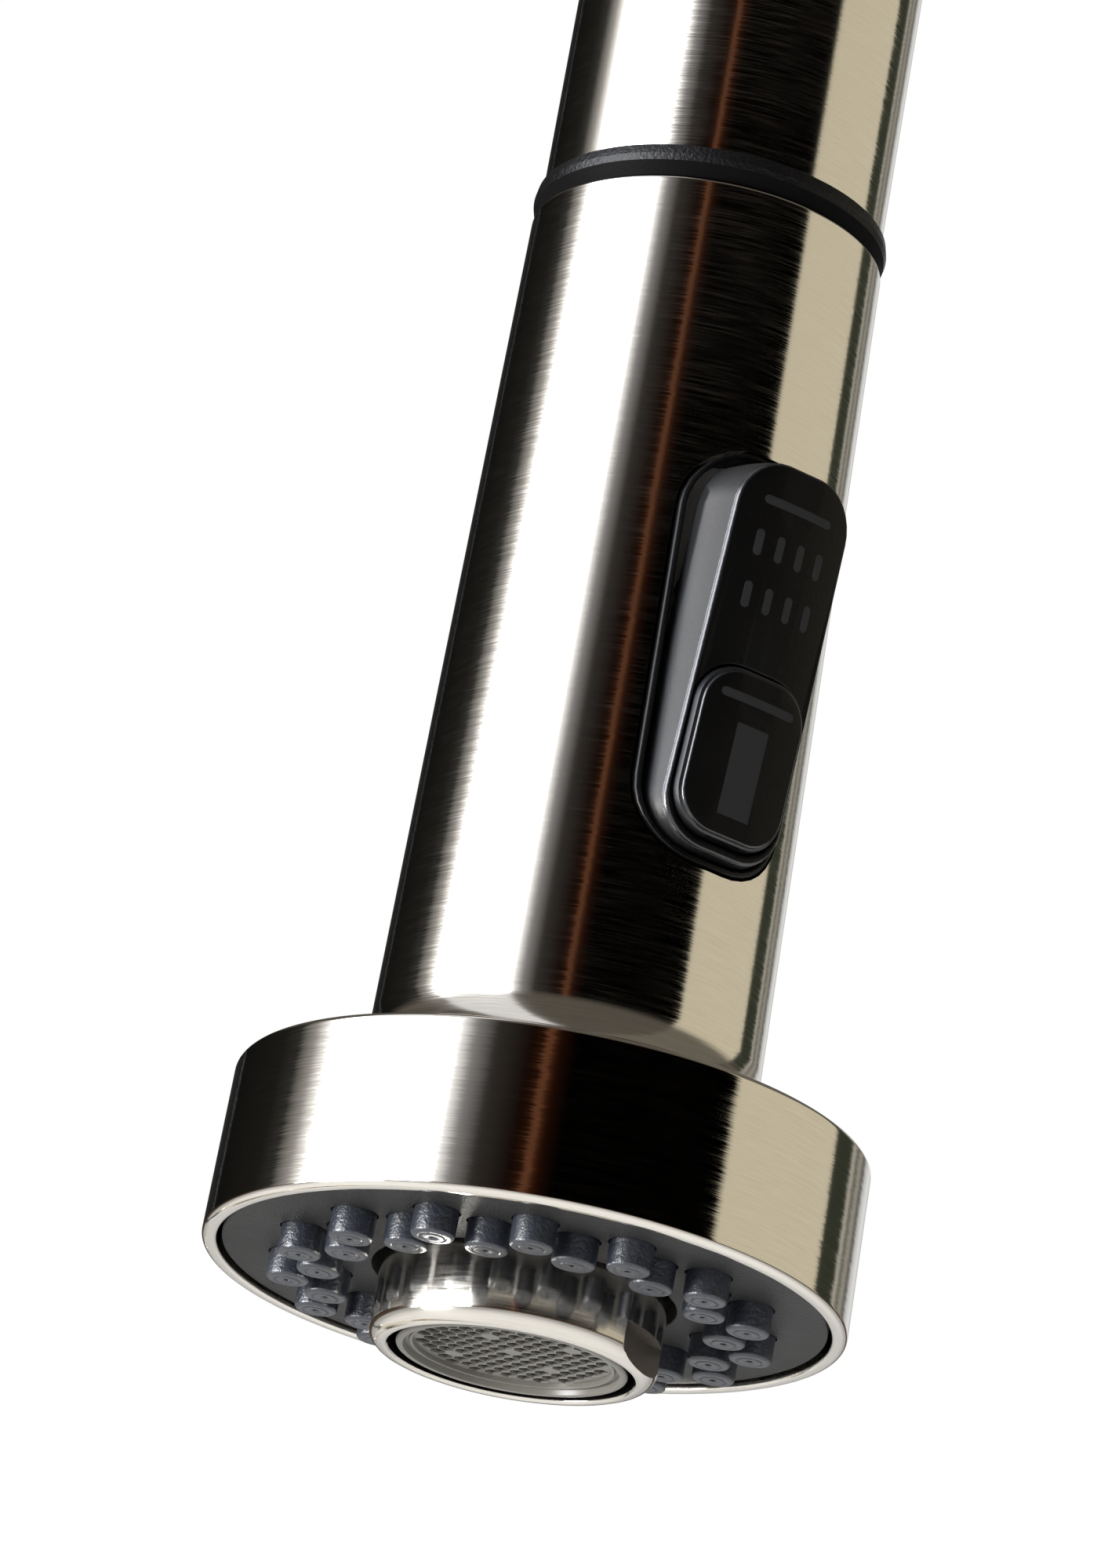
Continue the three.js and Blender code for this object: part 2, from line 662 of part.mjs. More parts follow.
function headPieces() {
  const skirt = [[7.3, 88.3], [13.6, 88.3], [13.6, 95.3]];
  const cone = turned([...skirt, [10.9, 95.3], [10.4, 103.6], [7.3, 103.6]]);
  return [
    piece("head_shell", headShell(), brushedNickel),
    piece("head_core", headCore(), whitePlastic),
    piece("hose_nut", ring(5.4, 7.3, 76.2, 87.6, COARSE), brass),
    piece("head_dock_cone", cone, blackPlastic),
    piece("head_magnet", ring(7.3, 10.2, 103.9, 106.6, COARSE), magnet),
  ];
}

function headAssembly() {
  const head = assembly(
    ...headPieces(),
    ...checkValvePieces(),
    ...buttonPieces(),
    ...facePieces(),
    ...hosePieces(),
  );
  head.position.set(0, -REACH, HEAD_Z);
  return head;
}

export default assembly(
  baseAssembly(),
  valveAssembly(),
  swivelAssembly(),
  spoutAssembly(),
  headAssembly(),
);
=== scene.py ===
"""Looks for the pull-down kitchen faucet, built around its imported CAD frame."""
import json
import math

import bmesh
import bpy
from mathutils import Matrix, Vector

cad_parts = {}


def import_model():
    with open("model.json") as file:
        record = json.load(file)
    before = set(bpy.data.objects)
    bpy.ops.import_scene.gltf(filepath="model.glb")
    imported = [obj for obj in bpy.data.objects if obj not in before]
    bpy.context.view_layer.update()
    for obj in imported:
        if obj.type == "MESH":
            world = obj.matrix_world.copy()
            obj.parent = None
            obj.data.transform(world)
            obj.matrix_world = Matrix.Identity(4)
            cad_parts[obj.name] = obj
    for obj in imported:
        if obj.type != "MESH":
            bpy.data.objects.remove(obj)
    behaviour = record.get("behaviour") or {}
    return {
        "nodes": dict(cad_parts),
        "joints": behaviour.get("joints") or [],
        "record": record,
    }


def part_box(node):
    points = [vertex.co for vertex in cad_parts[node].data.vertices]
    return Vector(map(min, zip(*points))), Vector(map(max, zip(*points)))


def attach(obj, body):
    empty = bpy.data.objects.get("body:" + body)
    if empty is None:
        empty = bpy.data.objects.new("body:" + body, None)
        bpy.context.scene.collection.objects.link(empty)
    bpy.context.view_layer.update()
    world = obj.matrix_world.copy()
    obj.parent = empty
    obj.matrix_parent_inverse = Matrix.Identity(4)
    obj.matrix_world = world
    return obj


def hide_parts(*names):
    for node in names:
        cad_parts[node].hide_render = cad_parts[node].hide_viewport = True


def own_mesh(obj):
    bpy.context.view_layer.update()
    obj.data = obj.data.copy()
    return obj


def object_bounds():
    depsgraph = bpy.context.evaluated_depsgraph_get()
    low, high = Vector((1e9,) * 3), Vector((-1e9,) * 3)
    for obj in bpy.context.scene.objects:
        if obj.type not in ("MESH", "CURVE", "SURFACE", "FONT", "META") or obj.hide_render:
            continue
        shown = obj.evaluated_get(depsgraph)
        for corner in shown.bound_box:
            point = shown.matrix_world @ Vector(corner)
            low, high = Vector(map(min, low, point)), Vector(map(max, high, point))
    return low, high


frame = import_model()
cad_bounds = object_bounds()

MM = 0.001
TURN = 2 * math.pi
SIDES = 160  # facets round a turned piece
ROUND_STEPS = 6  # facets in a rounded edge


# ---------------- places, from the frame

def corners(node):
    return [Vector(corner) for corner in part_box(node)]


def middle(node):
    low, high = corners(node)
    return (low + high) / 2


def ends(node):
    """The node's bottom and top, in mm."""
    return [corner[2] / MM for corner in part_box(node)]


shell_low, shell_high = corners("head_shell")
HEAD = Vector((*middle("head_shell").xy, shell_low.z))
COLUMN = Vector((0, 0, 0))
VALVE = Vector((0, 0, middle("cartridge").z))
joints = {joint["name"]: joint for joint in frame["joints"]}
PIVOT = Vector(joints["lever_flow"]["pos_m"])
ROCKER_PIN = Vector(joints["rocker_tilt"]["pos_m"])
REACH = -HEAD.y


# ---------------- mesh making

def new_object(name, data):
    item = bpy.data.objects.new(name, data)
    bpy.context.scene.collection.objects.link(item)
    return item


def new_piece(name, verts, faces):
    mesh = bpy.data.meshes.new(name)
    mesh.from_pydata(verts, [], faces)
    mesh.validate()
    return new_object(name, mesh)


def put(piece, centre, scale=MM):
    """Moves a piece drawn round its own origin to its centre, from mm to metres."""
    piece.data.transform(Matrix.Translation(centre) @ Matrix.Scale(scale, 4))
    return piece


def facing(angle):
    """The level direction at this angle from the front; the lever side is positive."""
    return Vector((math.sin(angle), -math.cos(angle), 0))


def circle(radius, z, sides):
    angles = [TURN * i / sides for i in range(sides)]
    return [(radius * math.sin(angle), -radius * math.cos(angle), z) for angle in angles]


def band(start, after, count):
    """The faces between two rings of vertices, given where each ring starts."""
    faces = []
    for i in range(count):
        j = (i + 1) % count
        faces.append((start + i, start + j, after + j, after + i))
    return faces


def smooth(piece, degrees=35):
    """Smooth shading that keeps real corners and keeps flat faces flat."""
    build = bmesh.new()
    build.from_mesh(piece.data)
    bmesh.ops.recalc_face_normals(build, faces=build.faces)
    build.to_mesh(piece.data)
    build.free()
    piece.data.polygons.foreach_set("use_smooth", [True] * len(piece.data.polygons))
    piece.data.set_sharp_from_angle(angle=math.radians(degrees))
    weighted = piece.modifiers.new("even_faces", "WEIGHTED_NORMAL")
    weighted.keep_sharp = True
    return piece


def rounded(profile, steps):
    """A profile's points, with each corner given as (r, z, radius) turned into an arc."""
    closed = profile[0][0] > 0
    points = []
    for i, corner in enumerate(profile):
        radius = corner[2] if len(corner) > 2 else 0
        here = Vector(corner[:2])
        if radius == 0 or (not closed and i in (0, len(profile) - 1)):
            points.append(here)
            continue
        before = Vector(profile[i - 1][:2]) - here
        after = Vector(profile[(i + 1) % len(profile)][:2]) - here
        half = before.angle(after) / 2
        reach = radius / math.tan(half)
        bisector = (before.normalized() + after.normalized()).normalized()
        centre = here + bisector * (radius / math.sin(half))
        start = here + before.normalized() * reach - centre
        sweep = start.angle_signed(here + after.normalized() * reach - centre)
        for step in range(steps + 1):
            spun = start.copy()
            spun.rotate(Matrix.Rotation(-sweep * step / steps, 2))
            points.append(centre + spun)
    return points


def turned(name, profile, centre, axis="Z", sides=SIDES, steps=ROUND_STEPS, scale=MM):
    """A body of revolution. The profile is in mm from the centre: (radius, along[, round])."""
    points = rounded(profile, steps)
    verts = []
    rings = []
    for radius, along in points:
        if radius < 1e-6:
            rings.append([len(verts)])
            verts.append((0, 0, along))
            continue
        rings.append(list(range(len(verts), len(verts) + sides)))
        verts += circle(radius, along, sides)
    faces = []
    closed = profile[0][0] > 0
    for low, high in zip(rings, rings[1:] + (rings[:1] if closed else [])):
        for i in range(sides):
            j = (i + 1) % sides
            if len(low) == 1 and len(high) > 1:
                faces.append((low[0], high[j], high[i]))
            elif len(high) == 1 and len(low) > 1:
                faces.append((low[i], low[j], high[0]))
            elif len(low) > 1:
                faces.append((low[i], low[j], high[j], high[i]))
    piece = new_piece(name, verts, faces)
    if axis == "X":
        piece.data.transform(Matrix.Rotation(TURN / 4, 4, "Y"))
    return smooth(put(piece, centre, scale))


def plug(name, radius, low, high, centre, axis="Z", sides=SIDES, scale=MM):
    """A plain cylinder, to cut or to join."""
    profile = [(0, low), (radius, low), (radius, high), (0, high)]
    return turned(name, profile, centre, axis, sides, scale=scale)


def box_tool(name, x, y, z):
    """A box between two ends in each direction, to cut with."""
    verts = [(a, b, c) for a in x for b in y for c in z]
    faces = [(0, 1, 3, 2), (4, 6, 7, 5), (0, 4, 5, 1), (2, 3, 7, 6), (0, 2, 6, 4), (1, 5, 7, 3)]
    return new_piece(name, verts, faces)


def pill_outline(width, low, high, corner, inset, steps=8):
    """A rounded rectangle, anticlockwise, drawn in from its edge by inset."""
    half = width / 2 - inset
    low, high = low + inset, high - inset
    corner = max(corner - inset, 0.05)
    points = []
    centres = [(half - corner, low + corner), (half - corner, high - corner),
               (-half + corner, high - corner), (-half + corner, low + corner)]
    for quarter, (x, y) in enumerate(centres):
        for step in range(steps + 1):
            angle = TURN * (quarter - 1 + step / steps) / 4
            points.append((x + corner * math.cos(angle), y + corner * math.sin(angle)))
    return points


def pill(name, width, low, high, corner, layers, crown=0.0, fan=False, loop=False):
    """A rounded slab through layers of (inset, height), in mm. A crown bows its face in x.

    A fan covers the top in narrowing rings, so that it can bow. A loop joins the last layer
    to the first, which leaves the middle open.
    """
    layers = list(layers)
    if fan:
        inset, top = layers[-1]
        end = width / 2 - 0.08
        layers += [(inset + (end - inset) * i / 9, top) for i in range(1, 10)]
    verts = []
    count = 0
    floor_height = layers[0][1]
    for inset, height in layers:
        ring = pill_outline(width, low, high, corner, inset)
        count = len(ring)
        bow = crown * min(1.0, (height - floor_height) / 2)
        verts += [(x, y, height - bow * x * x) for x, y in ring]
    faces = []
    total = len(layers)
    for layer in range(total if loop else total - 1):
        faces += band(layer * count, (layer + 1) % total * count, count)
    if not loop:
        faces.append(tuple(reversed(range(count))))
        faces.append(tuple(range(len(verts) - count, len(verts))))
    return new_piece(name, verts, faces)


def edge_arc(radius, height, inset=0.0, steps=5):
    """Layers of a rounded top edge of a pill whose face is at height."""
    layers = []
    for step in range(steps + 1):
        angle = TURN / 4 * step / steps
        layers.append((inset + radius * (1 - math.cos(angle)), height - radius * (1 - math.sin(angle))))
    return layers


def settle(piece):
    """Applies a piece's modifiers to its mesh."""
    graph = bpy.context.evaluated_depsgraph_get()
    piece.data = bpy.data.meshes.new_from_object(piece.evaluated_get(graph))
    piece.modifiers.clear()


def boolean(piece, tool, operation):
    piece.modifiers.clear()
    change = piece.modifiers.new(operation, "BOOLEAN")
    change.operation = operation
    change.object = tool
    change.solver = "EXACT"
    settle(piece)
    bpy.data.objects.remove(tool)
    return piece


def cut(piece, *tools):
    for tool in tools:
        boolean(piece, tool, "DIFFERENCE")
    return smooth(piece)


def merged(name, parts, slots=()):
    """Several separate solids as one piece, each with its own material slot."""
    build = bmesh.new()
    for i, part in enumerate(parts):
        known = len(build.faces)
        build.from_mesh(part.data)
        build.faces.ensure_lookup_table()
        for face in build.faces[known:]:
            face.material_index = slots[i] if slots else 0
    mesh = bpy.data.meshes.new(name)
    build.to_mesh(mesh)
    build.free()
    piece = new_object(name, mesh)
    for part in parts:
        bpy.data.objects.remove(part)
    return smooth(piece)


def swept(name, route, radius, bore, sides):
    """A tube along a route of (point, tangent) pairs that lies in the YZ plane."""
    verts = []
    faces = []
    walls = [radius] if bore == 0 else [radius, bore]
    for wall in walls:
        for point, tangent in route:
            normal = Vector((0, tangent.z, -tangent.y))
            for i in range(sides):
                angle = TURN * i / sides
                side = Vector((1, 0, 0)) * math.cos(angle) + normal * math.sin(angle)
                verts.append(point + side * wall)
    steps = len(route)
    for layer in range(len(walls)):
        base = layer * steps * sides
        for s in range(steps - 1):
            faces += band(base + s * sides, base + (s + 1) * sides, sides)
    for start in (0, (steps - 1) * sides):
        if bore == 0:
            faces.append(tuple(range(start, start + sides)))
        else:
            faces += band(start, steps * sides + start, sides)
    piece = new_piece(name, verts, faces)
    along = [0.0]
    for (a, _), (b, _) in zip(route, route[1:]):
        along.append(along[-1] + (b - a).length)
    layer = piece.data.uv_layers.new(name="around")
    for loop in piece.data.loops:
        index = loop.vertex_index % (steps * sides)
        layer.data[loop.index].uv = ((index % sides) / sides, along[index // sides])
    return smooth(piece)


# ---------------- materials

class Tree:
    """A small helper that makes and links shader nodes."""

    def __init__(self, tree):
        self.tree = tree

    def add(self, kind, **values):
        node = self.tree.nodes.new(kind)
        for key, value in values.items():
            setattr(node, key, value)
        return node

    def link(self, source, target):
        self.tree.links.new(source, target)

    def fill(self, node, *values, **named):
        """Sets or links inputs, in order or by name, and gives the node's first output."""
        pairs = list(zip(node.inputs, values))
        pairs += [(node.inputs[key.replace("_", " ")], value) for key, value in named.items()]
        for socket, value in pairs:
            if isinstance(value, bpy.types.NodeSocket):
                self.link(value, socket)
            else:
                socket.default_value = (*value, 1) if isinstance(value, tuple) else value
        return node.outputs[0]

    def math(self, operation, *values):
        return self.fill(self.add("ShaderNodeMath", operation=operation), *values)

    def vector_math(self, operation, *values, **named):
        return self.fill(self.add("ShaderNodeVectorMath", operation=operation), *values, **named)

    def split(self, vector):
        node = self.add("ShaderNodeSeparateXYZ")
        self.fill(node, vector)
        return node.outputs

    def join(self, *values):
        return self.fill(self.add("ShaderNodeCombineXYZ"), *values)

    def noise(self, vector, scale, detail=2.0, roughness=0.5):
        node = self.add("ShaderNodeTexNoise")
        self.fill(node, Vector=vector, Scale=scale, Detail=detail, Roughness=roughness)
        return node.outputs["Fac"]

    def spread(self, value, low, high, start=0.0, end=1.0, **kind):
        node = self.add("ShaderNodeMapRange", **kind)
        spans = {"From_Min": start, "From_Max": end, "To_Min": low, "To_Max": high}
        return self.fill(node, Value=value, **spans)

    def mix(self, factor, a, b):
        node = self.add("ShaderNodeMix", data_type="RGBA")
        self.fill(node, Factor=factor, A=a, B=b)
        return node.outputs["Result"]


class Surface(Tree):
    """A material's nodes, round its one shader."""

    def __init__(self, name, color, roughness, metallic=0.0):
        self.material = bpy.data.materials.new(name)
        self.material.use_nodes = True
        super().__init__(self.material.node_tree)
        self.shader = self.tree.nodes["Principled BSDF"]
        self.finish(Base_Color=color, Roughness=roughness, Metallic=metallic)

    def finish(self, **values):
        self.fill(self.shader, **values)

    def place(self):
        return self.add("ShaderNodeTexCoord").outputs["Object"]

    def tint(self, value, dark, light):
        self.finish(Base_Color=self.mix(value, dark, light))

    def bump(self, height, strength, distance):
        node = self.add("ShaderNodeBump")
        self.finish(Normal=self.fill(node, Height=height, Strength=strength, Distance=distance))


def stretched_place(nodes, centre, axis, across, along):
    """Coordinates that change slowly round the axis and fast along it or out from it."""
    place = nodes.split(nodes.place())
    flat = [nodes.math("SUBTRACT", place[n], centre["XYZ".index(n)]) for n in "XYZ" if n != axis]
    squares = [nodes.math("MULTIPLY", value, value) for value in flat]
    radius = nodes.math("SQRT", nodes.math("ADD", *squares))
    line = nodes.math("ADD", place[axis], radius)
    sides = [nodes.math("MULTIPLY", value, across) for value in flat]
    return nodes.join(*sides, nodes.math("MULTIPLY", line, along))


def grey(value):
    return (value, value, value)


NICKEL = (0.76, 0.72, 0.65)
NICKEL_LIGHT = (0.84, 0.8, 0.73)
LEAN = 0.01  # how far the brush lines tip the surface


def brush(nodes, fine, coarse, smoothest, roughest, tangent):
    """The brush lines of satin nickel. Each one leans and blurs what it mirrors by its own amount."""
    lines = nodes.noise(fine, 1.0, detail=1)
    streaks = nodes.noise(coarse, 1.0, detail=2)
    both = nodes.math("ADD", nodes.math("MULTIPLY", lines, 0.75), nodes.math("MULTIPLY", streaks, 0.25))
    nodes.tint(nodes.spread(lines, 0, 1, 0.3, 0.7), NICKEL, NICKEL_LIGHT)
    normal = nodes.add("ShaderNodeNewGeometry").outputs["Normal"]
    lean = nodes.vector_math("SCALE", tangent, Scale=nodes.spread(both, -LEAN, LEAN, 0.3, 0.7))
    leaning = nodes.vector_math("NORMALIZE", nodes.vector_math("ADD", normal, lean))
    nodes.finish(
        Roughness=nodes.spread(both, smoothest, roughest, 0.36, 0.64), Normal=leaning,
        Tangent=tangent, Anisotropic=0.6, Anisotropic_Rotation=0.25)
    return nodes.material


def brushed_nickel(name, centre, axis="Z", smoothest=0.07, roughest=0.15):
    nodes = Surface(name, NICKEL, 0.2, 1.0)
    fine = stretched_place(nodes, centre, axis, 260, 9000)
    coarse = stretched_place(nodes, centre, axis, 120, 5000)
    tangent = nodes.add("ShaderNodeTangent", direction_type="RADIAL", axis=axis).outputs[0]
    return brush(nodes, fine, coarse, smoothest, roughest, tangent)


def brushed_tube(name, scales, smoothest=0.07, roughest=0.15):
    """Brush lines round a bent tube, from its own (around, along) coordinates."""
    nodes = Surface(name, NICKEL, 0.2, 1.0)
    uv = nodes.split(nodes.add("ShaderNodeUVMap", uv_map="around").outputs[0])
    turn = nodes.math("MULTIPLY", uv["X"], TURN)
    stretched = []
    for across, along in scales:
        sides = [nodes.math("MULTIPLY", nodes.math(wave, turn), across) for wave in ("COSINE", "SINE")]
        stretched.append(nodes.join(*sides, nodes.math("MULTIPLY", uv["Y"], along)))
    tangent = nodes.add("ShaderNodeTangent", direction_type="UV_MAP", uv_map="around").outputs[0]
    return brush(nodes, *stretched, smoothest, roughest, tangent)


def polished_nickel():
    nodes = Surface("polished_nickel", NICKEL_LIGHT, 0.05, 1.0)
    nodes.finish(Roughness=nodes.spread(nodes.noise(nodes.place(), 900, detail=4), 0.03, 0.1))
    return nodes.material


def grained(name, dark, light, roughness, grain=2600, depth=0.00004, strength=0.5, shine=0.5):
    """Moulded plastic or rubber with a fine spark-eroded grain."""
    nodes = Surface(name, dark, roughness)
    place = nodes.place()
    skin = nodes.noise(place, grain, detail=3, roughness=0.6)
    cloud = nodes.noise(place, 90, detail=3)
    nodes.tint(nodes.math("MULTIPLY", nodes.math("ADD", skin, cloud), 0.5), dark, light)
    spread = nodes.spread(cloud, roughness - 0.06, roughness + 0.06, 0.3, 0.7)
    nodes.finish(Roughness=spread, Specular_IOR_Level=shine)
    nodes.bump(skin, strength, depth)
    return nodes.material


def machined(name, dark, light, roughness):
    """Bare turned metal with tool marks and a little staining."""
    nodes = Surface(name, dark, roughness, 1.0)
    place = nodes.place()
    lines = nodes.noise(stretched_place(nodes, COLUMN, "Z", 80, 3000), 1.0, detail=2)
    stain = nodes.noise(place, 60, detail=4)
    nodes.tint(nodes.math("MULTIPLY", nodes.math("ADD", lines, stain), 0.5), dark, light)
    nodes.finish(Roughness=nodes.spread(stain, roughness - 0.08, roughness + 0.12))
    nodes.bump(lines, 0.3, 0.00004)
    return nodes.material


STRANDS = 12  # pairs round the hose
WEAVE = 0.031  # the climb of one strand in a turn


def braided():
    """Woven nylon over a hose: diagonal strands crossing both ways."""
    nodes = Surface("braided_nylon", (0.05, 0.055, 0.06), 0.55)
    uv = nodes.split(nodes.add("ShaderNodeUVMap", uv_map="around").outputs[0])
    turns = nodes.math("MULTIPLY", uv["X"], STRANDS * TURN)
    climb = nodes.math("MULTIPLY", uv["Y"], STRANDS * TURN / WEAVE)
    ways = [nodes.math("SINE", nodes.math(way, turns, climb)) for way in ("ADD", "SUBTRACT")]
    # The tint follows the weave's height: the crossing strands are the real pattern, while the light
    # crests are painted sheen and the dark gaps between strands are painted shade.
    shade = nodes.spread(nodes.math("MAXIMUM", *ways), 0, 1, -0.4, 1)
    nodes.tint(shade, (0.012, 0.013, 0.015), (0.16, 0.17, 0.19))
    nodes.bump(shade, 0.8, 0.0004)
    return nodes.material


HEAD_NICKEL = brushed_nickel("brushed_nickel_head", HEAD)
DISC_NICKEL = brushed_nickel("brushed_nickel_disc", HEAD, smoothest=0.05, roughest=0.11)
BODY_NICKEL = brushed_nickel("brushed_nickel_body", COLUMN)
HUB_NICKEL = brushed_nickel("brushed_nickel_hub", VALVE, "X")
TUBE_NICKEL = brushed_tube("brushed_nickel_tube", ((4, 9000), (1.8, 5000)))
POLISH = polished_nickel()
RIM_NICKEL = brushed_nickel("brushed_nickel_rim", HEAD, smoothest=0.09, roughest=0.16)
# The wrench flats' milled metal keeps its tool marks, but its tint is painted dark as the shade in the
# flats' recesses.
MILLED_SHADE = machined("milled_nickel_painted_shade", (0.1, 0.09, 0.08), (0.26, 0.23, 0.2), 0.36)
BLACK = grained("black_plastic", (0.0014, 0.0014, 0.0015), (0.0034, 0.0034, 0.0036), 0.33, shine=0.2)
# A lighter, rougher copy of the black for the walls, as painted light, and a smooth, shiny, bluish copy
# for the rounded edge, as a painted highlight line.
BLACK_LIT_SIDE = grained("black_plastic_lit_side", (0.004, 0.0043, 0.005), (0.009, 0.0095, 0.011), 0.4, shine=0.5)
BLACK_HIGHLIGHT_EDGE = grained("black_plastic_highlight_edge", (0.004, 0.0045, 0.006), (0.009, 0.01, 0.013), 0.2, shine=1.0)
BLACK_COLLAR = grained(
    "black_collar", (0.0016, 0.0016, 0.002), (0.005, 0.005, 0.006), 0.36,
    grain=2800, depth=0.0001, strength=1.0, shine=0.32)
# A dull black laid where only shade falls, as painted shade: the gap round the aerator insert and the
# collar's underside.
BLACK_SHADE = grained("black_matt_painted_shade", (0.0016, 0.0014, 0.0014), (0.004, 0.0035, 0.0035), 0.5, shine=0.06)
MARK = grained("marking_grey", (0.022, 0.022, 0.024), (0.034, 0.034, 0.036), 0.6, grain=4000, shine=0.3)
FACE_GREY = grained(
    "face_grey", grey(0.009), grey(0.034), 0.5, grain=3600, depth=0.00014, strength=1.0, shine=0.3)
SILICONE = grained(
    "nozzle_silicone", (0.011, 0.0135, 0.021), (0.028, 0.034, 0.048), 0.33,
    grain=2800, depth=0.0001, strength=0.8, shine=1.0)
PALE = grained("pale_plastic", (0.15, 0.142, 0.122), (0.205, 0.195, 0.17), 0.33, grain=1500, depth=0.00001)
# A darker copy of the pale plastic for the cells' inner walls: painted shade in the recesses.
CELL_SHADE = grained(
    "pale_plastic_painted_cell_shade", (0.05, 0.046, 0.038), (0.09, 0.084, 0.07), 0.45, grain=1500, depth=0.00001)
WHITE = grained("white_plastic", (0.62, 0.61, 0.58), (0.72, 0.71, 0.69), 0.4, depth=0.00002)
RUBBER = grained("black_rubber", grey(0.012), grey(0.026), 0.7)
BRASS = machined("turned_brass", (0.6, 0.42, 0.17), (0.78, 0.58, 0.28), 0.3)
STEEL = machined("turned_steel", grey(0.5), (0.68, 0.68, 0.67), 0.28)
MAGNET = machined("magnet_plating", (0.5, 0.51, 0.53), (0.62, 0.63, 0.65), 0.18)
BRAID = braided()

SLOT_MATERIALS = {
    "brushed_nickel": BODY_NICKEL, "brass": BRASS, "steel": STEEL, "magnet": MAGNET,
    "black_plastic": BLACK, "grey_plastic": FACE_GREY, "pale_plastic": PALE,
    "white_plastic": WHITE, "rubber": RUBBER, "silicone": SILICONE, "hose_braid": BRAID,
}
NODE_SLOTS = {entry["node"]: entry["material_slot"] for entry in frame["record"]["subparts"]}
REPLACED = set()


def dress(piece, node, body, *materials):
    """Gives a piece its material, and puts it on its body in place of its CAD node."""
    REPLACED.add(node)
    kept = [face.material_index for face in piece.data.polygons]
    piece.data.materials.clear()
    for material in materials or (SLOT_MATERIALS[NODE_SLOTS[node]],):
        piece.data.materials.append(material)
    piece.data.polygons.foreach_set("material_index", kept)
    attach(piece, body)
    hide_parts(node)
    return piece


# ---------------- spray head

# Radii and heights in mm, from the head's foot.
DISC_R = (shell_high.x - shell_low.x) / 2 / MM
HEAD_H = (shell_high.z - shell_low.z) / MM
WAND_TOP = 15.43
WAND_FOOT = 16.8
WALL = 1.4
DISC_H = 14.8
LIP_R = 25.7
LIP_H = 11
POLISHED_H = 0.62
FILLET = 6.6
bezel_low, bezel_high = corners("button_bezel")
OPENING_W = (bezel_high.x - bezel_low.x) / MM + 0.6
OPENING_LOW = (bezel_low.z - HEAD.z) / MM - 0.3
OPENING_HIGH = (bezel_high.z - HEAD.z) / MM + 0.3
OPENING_CORNER = 6.4


def wand_radius(z):
    return WAND_FOOT + (WAND_TOP - WAND_FOOT) * z / HEAD_H


def put_on_front(piece):
    """From (x across, y up, z out through the front), in mm from the head's foot."""
    piece.data.transform(Matrix(((1, 0, 0, 0), (0, 0, -1, 0), (0, 1, 0, 0), (0, 0, 0, 1))))
    return put(piece, HEAD)


def head_shell():
    profile = [
        (LIP_R, LIP_H),
        (LIP_R, 0, 0.25),
        (DISC_R, 0, 0.55),
        (DISC_R - 0.2, DISC_H, 0.5),
        (wand_radius(DISC_H), DISC_H, FILLET),
        (WAND_TOP, HEAD_H, 0.3),
        (WAND_TOP - WALL, HEAD_H, 0.15),
        (WAND_TOP - WALL, LIP_H),
    ]
    shell = turned("spray_head_shell", profile, HEAD, sides=256, steps=12)
    tool = pill("opening_tool", OPENING_W, OPENING_LOW, OPENING_HIGH, OPENING_CORNER, [(0, 8), (0, 22)])
    shell = cut(shell, put_on_front(tool))
    dress(shell, "head_shell", "spray_head", HEAD_NICKEL, POLISH, DISC_NICKEL)
    for face in shell.data.polygons:
        height = (face.center.z - HEAD.z) / MM
        face.material_index = 1 if height < POLISHED_H else 2 if height < DISC_H - 0.1 else 0


def bezel():
    """The black rim of the opening, whose face follows the wand."""
    rows = [(0, -3), (0, 0.1), (0.1, 0.22), (0.35, 0.24), (0.5, 0.1), (0.5, -3)]
    low, high = OPENING_LOW + 0.3, OPENING_HIGH - 0.3
    frame_ring = pill("bezel", OPENING_W - 0.6, low, high, OPENING_CORNER - 0.3, rows, loop=True)
    for vert in frame_ring.data.vertices:
        x, z, lift = vert.co
        radius = wand_radius(z) + lift
        vert.co = HEAD + Vector((x, -math.sqrt(radius * radius - x * x), z)) * MM
    dress(smooth(frame_ring), "button_bezel", "spray_head")


AERATOR_R = 12.03
AERATOR_FOOT = -6.1
FLAT_REACH = 11.33  # from the axis to a wrench flat
FLAT_TOP = -2.9
FLAT_ANGLES = (33, 213)  # from the front


def flat_tool(degrees):
    """The cutter of one wrench flat, which faces out at this angle from the front."""
    tool = box_tool("flat_tool", (-6, 6), (FLAT_REACH, FLAT_REACH + 12), (-9, FLAT_TOP))
    tool.data.transform(Matrix.Rotation(math.radians(degrees) + math.pi, 4, "Z"))
    return put(tool, HEAD)


